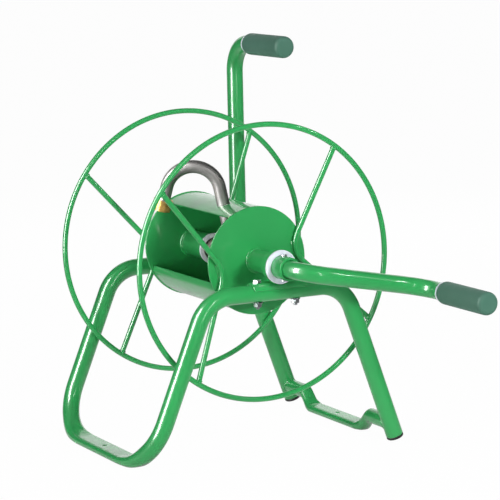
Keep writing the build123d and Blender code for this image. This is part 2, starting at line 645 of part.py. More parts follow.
def spoke_route(side, angles):
    """Corner points of one V rod: its two ring ends and the sharp vertex, with the apex on the disc."""
    half = math.radians(angles[0] - angles[1]) / 2
    middle = math.radians(angles[0] + angles[1]) / 2
    chord = RING_R * math.cos(half)
    depth = chord - SPOKE_VERTEX_RADIUS
    run = math.hypot(depth, RING_R * math.sin(half))
    apex_shift = SPOKE_BEND_RADIUS * (1 / math.sqrt(1 - (depth / run) ** 2) - 1)
    disc_touch = DISC_OUTER_Y + ROD_R + SEAT_CLEARANCE
    vertex_y = disc_touch - apex_shift * (RING_Y - disc_touch) / (depth - apex_shift)
    points = []
    for angle, radius, y in ((middle + half, RING_R, RING_Y), (middle, SPOKE_VERTEX_RADIUS, vertex_y),
                             (middle - half, RING_R, RING_Y)):
        points.append(reel_point(radius * math.cos(angle), side * y, radius * math.sin(angle)))
    return points


for side, side_name in ((-1, "near"), (1, "far")):
    for angles, turn_name in ((RIGHT_SPOKE_ANGLES, "right"), (LEFT_SPOKE_ANGLES, "left")):
        with BuildPart() as spoke:
            with BuildLine() as route:
                FilletPolyline(*spoke_route(side, angles), radius=SPOKE_BEND_RADIUS)
            with BuildSketch(Plane(origin=route.line @ 0, z_dir=route.line % 0)):
                Circle(ROD_R)
            sweep(path=route.line)
            add(rings[side].part, mode=Mode.SUBTRACT)
        save(spoke, f"{side_name}_{turn_name}_spoke")


def add_weld_cone(station, side, pipe_r, bore_r):
    """Weld fillet around a pipe on a disc's face; side points away from the disc along the axle."""
    with Locations(Location(reel_point(0, station + side * WELD_LEG / 2, 0), (-90 * side, 0, 0))):
        Cone(pipe_r + WELD_LEG, pipe_r, WELD_LEG)
        Cylinder(bore_r, 2 * WELD_LEG, mode=Mode.SUBTRACT)


# Near axle pipe with its weld on the near disc, and the thrust collar on it
with BuildPart() as near_axle:
    add_axle_ring(AXLE_R, AXLE_BORE_R, AXLE_END_Y, -DISC_INNER_Y + AXLE_INSIDE)
    add_weld_cone(-DISC_OUTER_Y, -1, AXLE_R, AXLE_BORE_R)
    with Locations(reel_point(0, PIN_Y, 0)):
        Cylinder(CRANK_PIN_DIAMETER / 2 + SEAT_CLEARANCE, 4 * AXLE_R, mode=Mode.SUBTRACT)
save(near_axle, "near_axle")
collar_near_y = NEAR_HOUSING_IN + END_PLAY
save_axle_ring(AXLE_COLLAR_R, AXLE_R, collar_near_y, collar_near_y + AXLE_COLLAR_LENGTH, "axle_collar")

# Far hub tube with its weld on the far disc, and a flanged bushing in each end
with BuildPart() as far_hub:
    add_axle_ring(HUB_R, HUB_BORE_R, HUB_NEAR_Y, DISC_OUTER_Y)
    add_weld_cone(DISC_INNER_Y, -1, HUB_R, HUB_BORE_R)
save(far_hub, "far_hub")
for seat_y, outward, name in ((HUB_NEAR_Y, -1, "hub_inner_bushing"), (DISC_OUTER_Y, 1, "hub_outer_bushing")):
    flanged_bushing(
        seat_y, outward, HUB_BORE_R, HUB_BUSHING_SLEEVE, HUB_R + HUB_FLANGE_LIP, HUB_FLANGE_THICKNESS, name)

# Swivel inside the drum: turns on the fixed water pipe and carries the gooseneck
with BuildPart() as swivel:
    add_axle_ring(PIPE_R + SWIVEL_WALL, PIPE_BORE_R, SWIVEL_NEAR_Y, SWIVEL_FAR_Y)
    cut_axle_bore(PIPE_R + RUNNING_CLEARANCE, SWIVEL_FAR_Y - SWIVEL_OVERLAP - SWIVEL_END_GAP, SWIVEL_FAR_Y)
    cut_axle_bore(PIPE_R, SWIVEL_NEAR_Y, GOOSENECK_START_Y)
save(swivel, "swivel")

# Gooseneck: along the axle, out through the shell, over in one bend and down to the hose fitting
plane_turn = math.radians(GOOSENECK_PLANE_ANGLE)
total_turn = math.radians(GOOSENECK_TURN)
goose_side = Vector(0, 1, 0) * math.cos(plane_turn) + goose_along * math.sin(plane_turn)
bend_start = goose_root + goose_out * GOOSENECK_RISE
bend_middle = bend_start + goose_side * GOOSENECK_BEND_RADIUS


def goose_bend(turn):
    """Point of the big bend after a turn from its start."""
    offset = goose_out * math.sin(turn) - goose_side * math.cos(turn)
    return bend_middle + offset * GOOSENECK_BEND_RADIUS


tail_dir = goose_side * math.sin(total_turn) + goose_out * math.cos(total_turn)
bend_end = goose_bend(total_turn)
fitting_base = bend_end + tail_dir * (GOOSENECK_TAIL - FITTING_SHOULDER - THREAD_LENGTH)
with BuildPart() as gooseneck:
    with BuildLine() as route:
        FilletPolyline(
            reel_point(0, GOOSENECK_START_Y, 0), goose_root, bend_start, radius=GOOSENECK_INNER_BEND)
        ThreePointArc(bend_start, goose_bend(total_turn / 2), bend_end)
        Line(bend_end, fitting_base + tail_dir * FITTING_SEAT)
    with BuildSketch(Plane(origin=route.line @ 0, z_dir=route.line % 0)):
        Circle(PIPE_R)
        Circle(PIPE_BORE_R, mode=Mode.SUBTRACT)
    sweep(path=route.line)
save(gooseneck, "gooseneck")

# Hose fitting: a shoulder over the gooseneck's end and a male hose thread
fitting_plane = Plane(origin=fitting_base, z_dir=tail_dir)
with BuildPart() as outlet_fitting:
    with BuildSketch(fitting_plane):
        Circle(PIPE_R + FITTING_WALL)
        Circle(PIPE_BORE_R, mode=Mode.SUBTRACT)
    extrude(amount=FITTING_SHOULDER)
    with BuildSketch(fitting_plane.offset(FITTING_SHOULDER)):
        Circle(thread_r)
        Circle(PIPE_BORE_R, mode=Mode.SUBTRACT)
    extrude(amount=THREAD_LENGTH)
    with BuildSketch(fitting_plane):
        Circle(PIPE_R)
    extrude(amount=FITTING_SEAT, mode=Mode.SUBTRACT)
save(outlet_fitting, "outlet_fitting")

# Crank: plugged into the axle, bent out to an arm and bent again along its grip
crank_end_y = CRANK_GRIP_Y - GRIP_TUBE_LENGTH
crank_points = [
    reel_point(0, AXLE_END_Y + CRANK_INSERT, 0),
    reel_point(0, CRANK_ARM_Y, 0),
    reel_point(CRANK_X, CRANK_ARM_Y, CRANK_Z),
    reel_point(CRANK_X, crank_end_y, CRANK_Z),
]
with BuildPart() as crank_tube:
    add_bent_tube(crank_points, [CRANK_BEND_RADIUS, CRANK_BEND_RADIUS], TUBE_R, TUBE_BORE_R)
    with Locations(reel_point(0, PIN_Y, 0)):
        Cylinder(CRANK_PIN_DIAMETER / 2 + SEAT_CLEARANCE, 4 * AXLE_R, mode=Mode.SUBTRACT)
save(crank_tube, "crank_tube")
with BuildPart() as crank_pin:
    with Locations(reel_point(0, PIN_Y, 0)):
        Cylinder(CRANK_PIN_DIAMETER / 2, 2 * AXLE_R + CRANK_PIN_HEAD_HEIGHT)
    for end in (-1, 1):
        with Locations(reel_point(0, PIN_Y, end * (AXLE_R + CRANK_PIN_HEAD_HEIGHT / 2))):
            Cylinder(CRANK_PIN_HEAD_DIAMETER / 2, CRANK_PIN_HEAD_HEIGHT)
save(crank_pin, "crank_pin")
grip_pieces(reel_point(CRANK_X, CRANK_GRIP_Y, CRANK_Z), "crank")
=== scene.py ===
"""Looks of the portable hose reel: smooth tubes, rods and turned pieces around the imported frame,
powder coat, zinc, brass, nylon and grip finishes, and a white studio with strip lights."""
import json
import math

import bmesh
import bpy
import numpy as np
from mathutils import Matrix


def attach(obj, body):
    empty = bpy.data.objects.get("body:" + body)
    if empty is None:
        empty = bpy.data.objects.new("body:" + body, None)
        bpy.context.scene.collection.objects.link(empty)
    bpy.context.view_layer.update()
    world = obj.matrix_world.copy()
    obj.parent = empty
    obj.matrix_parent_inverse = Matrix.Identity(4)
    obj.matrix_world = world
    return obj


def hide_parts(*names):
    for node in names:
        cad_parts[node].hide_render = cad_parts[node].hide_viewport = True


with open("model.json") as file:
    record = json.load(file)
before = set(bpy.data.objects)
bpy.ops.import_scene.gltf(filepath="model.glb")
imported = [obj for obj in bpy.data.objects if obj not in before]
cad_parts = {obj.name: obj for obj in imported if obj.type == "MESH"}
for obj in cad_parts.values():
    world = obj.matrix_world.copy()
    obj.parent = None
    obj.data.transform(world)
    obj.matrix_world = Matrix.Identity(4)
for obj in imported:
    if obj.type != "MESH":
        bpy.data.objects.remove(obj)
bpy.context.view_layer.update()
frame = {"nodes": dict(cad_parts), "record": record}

MM = 0.001
X_AXIS = np.array((1.0, 0.0, 0.0))
Y_AXIS = np.array((0.0, 1.0, 0.0))
Z_AXIS = np.array((0.0, 0.0, 1.0))
ALIGNED = 0.9
SIDES = ((-1, "near"), (1, "far"))

# Sizes of the reel, in millimetres and degrees
AXLE_X = 9.2
AXLE_Z = 278.3
REEL_Y = 6.0
DISC_R = 79.0
DISC_IN = 103.0
DISC_OUT = 105.8
SHELL_R = 76.0
SHELL_THICKNESS = 1.6
SHELL_GAP = 0.02
OPENING_TOP = 122.6
OPENING_BOTTOM = 210.1
LIP_HEIGHT = 9.5
LIP_BEND = 2.0
LIP_TURN = 1.5
RING_R = 199.0
RING_Y = 130.7
ROD_R = 3.97
SPOKE_ANGLES = {"right": (53.9, -30.0), "left": (235.8, 144.8)}
SPOKE_VERTEX_R = 55.0
SPOKE_BEND = 36.0
SEAT = 0.05

# Sizes of the stand
TUBE_R = 12.7
TUBE_WALL = 1.65
RIM_ROUNDING = 0.3
RIM_DROP = 0.25
RING_GAP = 3.6
BOW_Y = REEL_Y + RING_Y + ROD_R + RING_GAP + TUBE_R
BAR_Z = 241.3
BAR_REACH = 110.0
RIGHT_CORNER = AXLE_X + BAR_REACH
LEFT_CORNER = AXLE_X - BAR_REACH
RUN_X = 195.75
TOP_BEND = 55.0
FLOOR_BEND = 64.0
FLAT_HEIGHT = 11.5
FLAT_LENGTH = 136.0
FLAT_WIDTH = 33.5
FLAT_MARKS = (0.0, 0.19, 0.31, 0.69, 0.81, 1.0)
PRESS_ARC = 45.0
CROSS_R = 11.1
CROSS_Z = 26.0
CROSS_INSET = 5.0
CROSS_FLAT_TAPER = 34.0
CROSS_DROP_SHARE = 0.65
CROSS_FLAT_WIDTH = 29.0
ANCHOR_R = 3.6
ANCHOR_SPAN = (-20.0, 40.0)
PLUG_BASE = 4.6
PLUG_ROUNDING = 3.0
SADDLE_R = 15.7
SADDLE_THICKNESS = 2.95
SADDLE_LENGTH = 84.0
SADDLE_WRAP = 70.0
BOLT_SPREAD = 30.5

# Sizes of the bearings and the axle
AXLE_R = 16.7
AXLE_BORE = 13.3
AXLE_INSERT = 4.0
AXLE_REACH = 26.0
AXLE_COLLAR_R = 19.3
AXLE_COLLAR_LENGTH = 4.0
HOUSING_R = 22.2
HOUSING_BORE = 19.05
HOUSING_OUTSET = 13.0
HOUSING_LENGTH = 17.0
FLANGE_R = 24.3
FLANGE_THICKNESS = 3.4
BEARING_R = 16.78
COLLAR_R = 21.0
COLLAR_LENGTH = 10.0
END_PLAY = 0.2
HUB_R = 20.0
HUB_BORE = 18.0
HUB_LENGTH = 72.0
HUB_SLEEVE = 11.0
HUB_FLANGE_R = 23.4
HUB_FLANGE = 3.0
SPINDLE_SETBACK = 3.0
SPINDLE_REACH = 10.0

# Sizes of the crank, the brace and their handles
CRANK_THROW = 203.0
CRANK_ANGLE = -11.3
CRANK_OFFSET = 38.0
CRANK_BEND = 38.0
CRANK_INSERT = 50.0
CRANK_HOLLOW = 20.0
CRANK_GRIP_GAP = 10.0
PIN_FROM_END = 18.0
PIN_R = 3.0
PIN_HEAD_R = 4.5
PIN_HEAD = 2.4
BRACE_X = 125.6
BRACE_TOP = AXLE_Z + 295.5
BRACE_FOOT = AXLE_Z - 90.0
BRACE_BEND = 45.0
BRACE_HOLLOW = 30.0
BRACE_GRIP_GAP = 4.5
BRACE_BOLT_DROPS = (-72.8, -52.8)
GRIP_R = 16.5
GRIP_LENGTH = 114.0
GRIP_ROUNDING = 8.0
GRIP_BASE_ROUNDING = 7.0
SLEEVE_GAP = 0.08
SLEEVE_FLANGE_R = 14.48
SLEEVE_FLANGE = 3.2

# Sizes of the water way
PIPE_R = 9.525
PIPE_WALL = 1.6
PIPE_INSERT = 4.0
PIPE_HOLE_GAP = 0.5
PIPE_HOLE_REACH = 120.0
GOOSE_Y = -35.4
GOOSE_ANGLE = 102.4
GOOSE_INNER_BEND = 32.0
GOOSE_RISE = 102.9
GOOSE_BEND = 39.5
GOOSE_PLANE = 60.0
GOOSE_TURN = 154.3
GOOSE_TAIL = 36.0
GOOSE_START = 13.8
THREAD_R = 13.425
THREAD_LENGTH = 11.0
THREAD_PITCH = 2.2
THREAD_DEPTH = 0.5
BORE_SHARE = 0.4
SHOULDER_R = 14.525
SHOULDER = 5.0
HEX_FLATS = 32.0
HEX_LENGTH = 10.0

# Sizes of the bolts and of the cone that chamfers a hexagon
BOLT_R = 3.1
BOLT_FLATS = 11.0
BOLT_HEAD = 4.0
BOLT_TAIL = 3.0
BOLT_SINK = 0.5
BOLT_BORE = 0.4
BOLT_PITCH = 1.27
BOLT_GROOVE = 0.5
NUT_HEIGHT = 5.4
WASHER_R = 7.0
WASHER = 1.5
HEX_TOP = 0.96
HEX_SLOPE = 1.7
HEX_STATIONS = (0.0, 0.0, 0.5, 0.7, 0.78, 0.86, 0.93, 1.0, 1.0)

# Rounded edges
EDGE = 0.8
DISC_EDGE = 1.25
SHELL_EDGE = 0.5
SADDLE_EDGE = 0.7
BUSHING_EDGE = 0.7
SPINDLE_EDGE = 0.5
AXLE_EDGE = 0.6
HUB_EDGE = 0.4
WASHER_EDGE = 0.4
SLEEVE_EDGE = 0.6
SIDE_SHARE = 0.45

# Weld beads, each as its radius and the pitch of its ripples, and where they lie
CROSS_BEAD = (1.5, 2.6)
SADDLE_BEAD = (2.3, 3.0)
DRUM_BEAD = (2.0, 4.2)
RING_BEAD = (1.5, 2.4)
DISC_BEAD = (1.8, 2.6)
BEAD_SWELL = 0.2
BEAD_TAPER = 3
BEAD_RAISE = 0.6
DRUM_BEAD_OUT = 0.2
RING_BEAD_IN = 0.3
DISC_BEAD_IN = 0.4
DISC_BEAD_RAISE = 0.5
DISC_BEAD_ROWS = 6
BEAD_SPREAD = 1.25

# Rows and sides of the grids
TURNED_SIDES = 64
PRESS_SIDES = 64
HEX_SIDES = 72
ROD_SIDES = 24
PIPE_SIDES = 40
BOLT_SIDES = 32
BEAD_SIDES = 10
LIP_STEPS = 7
PLUG_STEPS = 9
GRIP_STEPS = 12
EDGE_STEPS = 3
ROD_STEP = 4.0
ARC_ROWS = 6
CROSS_ROWS = 201
SADDLE_ROWS = 43
SADDLE_COLUMNS = 41
SHELL_ROWS = 60
SHELL_COLUMNS = 150
RING_ROWS = 320
GOOSE_ROWS = 60
TAIL_ROWS = 7
THREAD_ROWS = 8
CROSS_BEAD_ROWS = 90
SADDLE_BEAD_ROWS = 64
DRUM_BEAD_ROWS = 160
RING_BEAD_ROWS = 40

# Shading angles in degrees, and the smallest edges in metres
CREASE = 38.0
HARD_CREASE = 25.0
EDGE_ANGLE = 50.0
MERGE = 2e-6
SLIVER = 1e-7

# Places that follow
LEG_SLOPE = (RUN_X - RIGHT_CORNER) / (BAR_Z - CROSS_Z)
LEG_LEAN = math.atan(LEG_SLOPE)
PLUG_BOTTOM = PLUG_ROUNDING * (1 - math.cos(LEG_LEAN)) + (TUBE_R - PLUG_ROUNDING) * math.sin(LEG_LEAN)
BRACE_Y = BOW_Y + 2 * TUBE_R + SEAT
NEAR_OUT = -BOW_Y - REEL_Y - HOUSING_OUTSET
FAR_OUT = BOW_Y - REEL_Y + HOUSING_OUTSET
SPINDLE_END = FAR_OUT + SPINDLE_REACH
AXLE_END = NEAR_OUT - FLANGE_THICKNESS - AXLE_REACH
CRANK_ARM = AXLE_END - CRANK_OFFSET
CRANK_X = CRANK_THROW * math.cos(math.radians(CRANK_ANGLE))
CRANK_Z = CRANK_THROW * math.sin(math.radians(CRANK_ANGLE))


# Shapes as arrays

def reel_point(x, y, z):
    """Point given from the middle of the axle."""
    return np.array((AXLE_X + x, REEL_Y + y, AXLE_Z + z))


def unit(vectors):
    """Vector, or each row of vectors, at length one."""
    vectors = np.asarray(vectors, float)
    return vectors / np.linalg.norm(vectors, axis=-1, keepdims=True)


def even_turn(count):
    """Angles of one whole turn in even steps."""
    return np.linspace(0.0, 2 * np.pi, count, endpoint=False)


def spread(x, y, z):
    """Grid or row of points from coordinates that are spread to one shape."""
    return np.stack(np.broadcast_arrays(x, y, z), -1)


def smooth_step(value):
    """Rises from 0 to 1 as 3v^2 - 2v^3 between 0 and 1."""
    value = np.clip(value, 0.0, 1.0)
    return value * value * (3 - 2 * value)


def turned_about(vector, axis, angle):
    """Vector turned about an axis: v cos t + (a x v) sin t + a (a.v) (1 - cos t)."""
    return (vector * np.cos(angle) + np.cross(axis, vector) * np.sin(angle)
            + axis * (axis @ vector) * (1 - np.cos(angle)))


def loop_ways(path):
    """Direction at each point of a closed path."""
    return unit(np.roll(path, -1, axis=0) - np.roll(path, 1, axis=0))


def bent_route(points, radii, normal, step=3.0):
    """Straight runs joined by arcs, as rows of points, directions and normals.
    A corner of turn a becomes an arc of radius r that starts r tan(a/2) before it; on the arc
    p = c - r q cos(f) + r u sin(f), where u is the incoming direction and q points to the centre c.
    The normal turns with each arc about the arc's own axis."""
    points = np.asarray(points, float)
    ways = unit(np.diff(points, axis=0))
    turns = np.arccos(np.clip(np.sum(ways[:-1] * ways[1:], axis=1), -1, 1))
    trims = np.concatenate(([0.0], np.asarray(radii) * np.tan(turns / 2), [0.0]))
    normal = unit(normal)
    rows = []
    for i, way in enumerate(ways):
        start = points[i] + way * trims[i]
        end = points[i + 1] - way * trims[i + 1]
        count = max(2, int(np.linalg.norm(end - start) / step) + 1)
        along = np.linspace(0.0, 1.0, count)[:, None]
        rows.append((start + (end - start) * along, np.repeat(way[None], count, 0),
                     np.repeat(normal[None], count, 0)))
        if i == len(ways) - 1:
            break
        axis = unit(np.cross(way, ways[i + 1]))
        inward = np.cross(axis, way)
        count = max(ARC_ROWS, int(turns[i] * radii[i] / step * 2))
        angle = np.linspace(0.0, turns[i], count)[1:-1, None]
        arc = end + radii[i] * inward * (1 - np.cos(angle)) + radii[i] * way * np.sin(angle)
        rows.append((arc, turned_about(way, axis, angle), turned_about(normal, axis, angle)))
        normal = turned_about(normal, axis, turns[i])
    return [np.concatenate(part) for part in zip(*rows)]


def tube_grid(route, radius, sides=48):
    """Round tube: p = route + r (n cos t + b sin t), with b square to the route and its normal n."""
    points, ways, normals = route
    angle = even_turn(sides)[:, None]
    binormals = np.cross(ways, normals)
    radius = np.broadcast_to(radius, len(points))[:, None, None]
    ring = normals[:, None] * np.cos(angle) + binormals[:, None] * np.sin(angle)
    return points[:, None] + radius * ring


def open_tube_grid(route, depth):
    """Stand tube along a route with open ends: over the rounded rim and down inside to a floor."""
    points, ways, normals = route
    shift = np.array((depth, depth, RIM_DROP * TUBE_WALL, 0.0, 0.0))
    bore = TUBE_R - TUBE_WALL
    rim = np.array((0.0, bore, bore, bore, TUBE_R - RIM_ROUNDING * TUBE_WALL))
    start = points[0] + ways[0] * shift[:, None]
    end = points[-1] - ways[-1] * shift[::-1, None]
    radii = np.concatenate((rim, np.full(len(points), TUBE_R), rim[::-1]))
    extra = ((len(rim), len(rim)), (0, 0))
    ways, normals = (np.pad(rows, extra, mode="edge") for rows in (ways, normals))
    return tube_grid((np.concatenate((start, points, end)), ways, normals), radii)


def capped(grid, first=True):
    """Grid closed at its last row, and at its first where asked, by a row in that row's middle."""
    middles = np.broadcast_to(grid.mean(axis=1, keepdims=True), grid.shape)
    return np.concatenate((middles[:1] if first else grid[:0], grid, middles[-1:]))


def softened(corners, radius, closed=True, steps=5):
    """Profile with its corners rounded: at each corner c between points a and b on its two sides,
    p = (1-t)^2 a + 2t(1-t) c + t^2 b. The ends of an open profile stay sharp."""
    corners = np.asarray(corners, float)
    back = np.roll(corners, 1, axis=0) - corners
    ahead = np.roll(corners, -1, axis=0) - corners
    shorter = np.minimum(*(np.linalg.norm(side, axis=1, keepdims=True) for side in (back, ahead)))
    size = np.minimum(radius, SIDE_SHARE * shorter)
    a = corners + unit(back) * size
    b = corners + unit(ahead) * size
    t = np.linspace(0.0, 1.0, steps)[None, :, None]
    arcs = (1 - t) ** 2 * a[:, None] + 2 * t * (1 - t) * corners[:, None] + t ** 2 * b[:, None]
    if closed:
        return arcs.reshape(-1, corners.shape[1])
    return np.concatenate((corners[:1], arcs[1:-1].reshape(-1, corners.shape[1]), corners[-1:]))


def around(origin, axis, stations, radii):
    """Rings about an axis: p = origin + axis s + r (e cos t + f sin t), with e and f square to the axis
    and a radius for each station s and each step of the turn t."""
    axis = unit(axis)
    first = unit(np.cross(axis, X_AXIS if abs(axis[0]) < ALIGNED else Z_AXIS))
    angle = even_turn(radii.shape[1])[:, None]
    ring = first * np.cos(angle) + np.cross(axis, first) * np.sin(angle)
    return origin + np.reshape(stations, (-1, 1, 1)) * axis + radii[:, :, None] * ring


def turned_grid(profile, origin, axis, sides=TURNED_SIDES):
    """Turned piece from a profile of points (s, r), s along the axis and r out from it."""
    profile = np.asarray(profile, float)
    return around(origin, axis, profile[:, 0], np.repeat(profile[:, 1:], sides, 1))


def ring_profile(near, far, outer, inner, rounding):
    """Closed section of a ring between two stations with rounded corners."""
    return softened([(near, inner), (near, outer), (far, outer), (far, inner)], rounding)


def hex_grid(origin, axis, flats, height):
    """Hexagon block: its radius is (f/2)/cos(a), a within 30 degrees of a flat, cut by a cone on top."""
    angle = even_turn(HEX_SIDES)
    flat_radius = flats / 2 / np.cos((angle + np.pi / 6) % (np.pi / 3) - np.pi / 6)
    stations = np.array(HEX_STATIONS) * height
    cone = flats / 2 * HEX_TOP + (height - stations) * HEX_SLOPE
    radii = np.minimum(flat_radius, cone[:, None])
    radii[[0, -1]] = 0.0
    return around(origin, axis, stations, radii)


def thread_grid(origin, axis, radius, depth, pitch, length, bore, sides=TURNED_SIDES):
    """Threaded spigot: r = R - d (1 - f (1 + cos 2pi(s/p - t/2pi)) / 2), where f fades the thread out
    at both ends, with a bored end."""
    stations = np.linspace(0.0, length, int(length / pitch * THREAD_ROWS))
    wave = 0.5 + 0.5 * np.cos(2 * np.pi * stations[:, None] / pitch - even_turn(sides))
    fade = smooth_step(stations / pitch) * smooth_step((length - stations) / pitch)
    radii = radius - depth * (1 - wave * fade[:, None])
    floor = BORE_SHARE * length
    stations = np.concatenate(([0.0], stations, (length, floor, floor)))
    end = np.repeat(((bore,), (bore,), (0.0,)), sides, 1)
    return around(origin, axis, stations, np.concatenate((np.zeros((1, sides)), radii, end)))


def hose_thread(base, way):
    """Outer hose thread with the bore of the pipe."""
    return thread_grid(base, way, THREAD_R, THREAD_DEPTH, THREAD_PITCH, THREAD_LENGTH, PIPE_R - PIPE_WALL)


def bead_grid(path, lift, size, closed=True):
    """Weld bead of a size (r, pitch): a round cord along a path whose radius r (0.8 + 0.2 |sin|) swells
    once per pitch. An open bead tapers off at both ends."""
    radius, pitch = size
    ways = loop_ways(path) if closed else unit(np.gradient(path, axis=0))
    steps = np.linalg.norm(np.diff(path, axis=0, prepend=path[:1]), axis=1)
    ripple = 1 - BEAD_SWELL + BEAD_SWELL * np.abs(np.sin(np.pi * np.cumsum(steps) / pitch))
    if not closed:
        row = np.arange(len(path))
        ripple = ripple * np.sqrt(np.clip(np.minimum(row, row[::-1]) / BEAD_TAPER, 0, 1))
    side = unit(np.cross(ways, lift))
    return tube_grid((path, -ways, side), radius * ripple, BEAD_SIDES)


def circle_path(centre, axis, radius, count):
    """Closed circle about an axis."""
    return around(centre, axis, 0.0, np.full((1, count), radius))[0]


def pressed_section(pressed, round_r, width):
    """Sections between a round tube (pressed 0) and a flat slot shape (pressed 1), as offsets across and up.
    x = f g + h cos(a) and z = h sin(a): h is half the height, f the half length of the flat; on the flat
    g runs from 1 to -1 while a stays at its top or bottom, and the round tube has a running evenly."""
    pressed = pressed[:, None]
    half_height = round_r + (FLAT_HEIGHT / 2 - round_r) * pressed
    half_width = round_r + (width / 2 - round_r) * pressed
    turn = np.linspace(0.0, 1.0, PRESS_SIDES, endpoint=False)
    flat_turn = np.interp(turn, FLAT_MARKS, (0.0, 0.25, 0.25, 0.75, 0.75, 1.0))
    shift = np.interp(turn, FLAT_MARKS, (1.0, 1.0, -1.0, -1.0, 1.0, 1.0))
    angle = ((1 - pressed) * turn + pressed * flat_turn) * 2 * np.pi
    across = (half_width - half_height) * shift + half_height * np.cos(angle)
    return across, half_height * np.sin(angle), half_height[:, 0]


# Pieces from arrays

def grid_faces(rows, columns, wrap_rows, wrap_columns, offset=0):
    """Quads of a grid whose rows or columns may close on themselves."""
    i = np.arange(rows if wrap_rows else rows - 1)[:, None]
    j = np.arange(columns if wrap_columns else columns - 1)[None]
    down = (i + 1) % rows
    right = (j + 1) % columns
    corners = ((i, j), (i, right), (down, right), (down, j))
    quads = np.stack([row * columns + column for row, column in corners], -1)
    return quads.reshape(-1, 4) + offset


def grid_mesh(name, grids, wrap_columns=True):
    """Mesh from grids of points in millimetres; each grid comes with whether its rows close."""
    vertices = []
    faces = []
    offset = 0
    for grid, wrap_rows in grids:
        rows, columns = grid.shape[:2]
        vertices.append(grid.reshape(-1, 3) * MM)
        faces.append(grid_faces(rows, columns, wrap_rows, wrap_columns, offset))
        offset += rows * columns
    mesh = bpy.data.meshes.new(name)
    mesh.from_pydata(np.concatenate(vertices).tolist(), [], np.concatenate(faces).tolist())
    return mesh


def shade(mesh, crease):
    """Shade smooth up to the crease angle."""
    mesh.polygons.foreach_set("use_smooth", np.ones(len(mesh.polygons), bool))
    mesh.set_sharp_from_angle(angle=math.radians(crease))


def settle_mesh(mesh, crease):
    """Close seams and poles, turn the faces outwards and shade them."""
    work = bmesh.new()
    work.from_mesh(mesh)
    bmesh.ops.remove_doubles(work, verts=work.verts, dist=MERGE)
    bmesh.ops.dissolve_degenerate(work, edges=work.edges, dist=SLIVER)
    bmesh.ops.recalc_face_normals(work, faces=work.faces)
    work.to_mesh(mesh)
    work.free()
    shade(mesh, crease)


def new_object(name, data):
    """Object in the scene that shows the data."""
    thing = bpy.data.objects.new(name, data)
    bpy.context.collection.objects.link(thing)
    return thing


def place_piece(name, mesh, body, nodes, slot):
    """Put a mesh into the scene on its body, standing for its nodes, in the finish of its slot."""
    piece = new_object(name, mesh)
    mesh.materials.clear()
    mesh.materials.append(SLOT_FINISH[slot])
    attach(piece, body)
    if nodes:
        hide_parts(*nodes)
    return piece


def make_piece(name, grids, body, nodes=(), slot="green_coat", crease=CREASE):
    """One closed piece from grids whose columns go all round."""
    mesh = grid_mesh(name, grids)
    settle_mesh(mesh, crease)
    return place_piece(name, mesh, body, nodes, slot)


def bake_modifiers(piece):
    """Replace a piece's mesh by what its modifiers make of it."""
    bpy.context.view_layer.update()
    shown = piece.evaluated_get(bpy.context.evaluated_depsgraph_get())
    mesh = bpy.data.meshes.new_from_object(shown)
    piece.modifiers.clear()
    piece.data = mesh
    shade(mesh, CREASE)


def drill(piece, start, end, radius):
    """Cut a round hole through a piece between two points."""
    length = np.linalg.norm(end - start)
    profile = [(0, 0), (0, radius), (length, radius), (length, 0)]
    cutter_mesh = grid_mesh("drill", [(turned_grid(profile, start, end - start, PIPE_SIDES), False)])
    settle_mesh(cutter_mesh, CREASE)
    cutter = new_object("drill", cutter_mesh)
    cut = piece.modifiers.new("hole", "BOOLEAN")
    cut.operation = "DIFFERENCE"
    cut.solver = "EXACT"
    cut.object = cutter
    bake_modifiers(piece)
    bpy.data.objects.remove(cutter)
    bpy.data.meshes.remove(cutter_mesh)


def sheet_piece(name, grid, thickness, edge, body, nodes):
    """Sheet metal: an open grid given its thickness inwards and finely rounded edges."""
    mesh = grid_mesh(name, [(grid, False)], wrap_columns=False)
    piece = place_piece(name, mesh, body, nodes, "green_coat")
    wall = piece.modifiers.new("wall", "SOLIDIFY")
    wall.thickness = thickness * MM
    wall.offset = -1.0
    wall.use_even_offset = True
    rounding = piece.modifiers.new("edge", "BEVEL")
    rounding.width = edge * MM
    rounding.segments = EDGE_STEPS
    rounding.limit_method = "ANGLE"
    rounding.angle_limit = math.radians(EDGE_ANGLE)
    bake_modifiers(piece)
    return piece


# Finishes

NOISE_SPAN = (0.3, 0.7)
DUST_COLOUR = (0.6, 0.6, 0.58, 1.0)
DUST_SCALE = 60.0
SCALE_LABELS = ("Drift Scale", "Patch Scale", "Grain Scale")
METAL = {"Metallic": 1.0}
WHITE = (1.0, 1.0, 1.0, 1.0)


def set_inputs(node, values):
    """Set inputs of a node, by label or number, to plain values or by links from sockets."""
    for label, value in values.items():
        if hasattr(value, "is_output"):
            node.id_data.links.new(value, node.inputs[label])
        else:
            node.inputs[label].default_value = value


def add_node(tree, kind, values):
    """New shader node with its inputs set."""
    node = tree.nodes.new(f"ShaderNode{kind}")
    set_inputs(node, values)
    return node


def new_group(name, inputs, outputs):
    """Empty shader group with named value sockets."""
    group = bpy.data.node_groups.new(name, "ShaderNodeTree")
    for way, labels in (("INPUT", inputs), ("OUTPUT", outputs)):
        for label in labels:
            group.interface.new_socket(label, in_out=way, socket_type="NodeSocketFloat")
    return group, group.nodes.new("NodeGroupInput"), group.nodes.new("NodeGroupOutput")


def noise_node(tree, scale, detail, roughness):
    """Noise on the object's own coordinates."""
    place = tree.nodes.new("ShaderNodeTexCoord").outputs["Object"]
    values = {"Vector": place, "Scale": scale, "Detail": detail, "Roughness": roughness}
    return add_node(tree, "TexNoise", values).outputs["Fac"]


def math_node(tree, operation, first, second):
    """Sum, product or other step on two values or sockets."""
    step = add_node(tree, "Math", {0: first, 1: second})
    step.operation = operation
    return step.outputs[0]


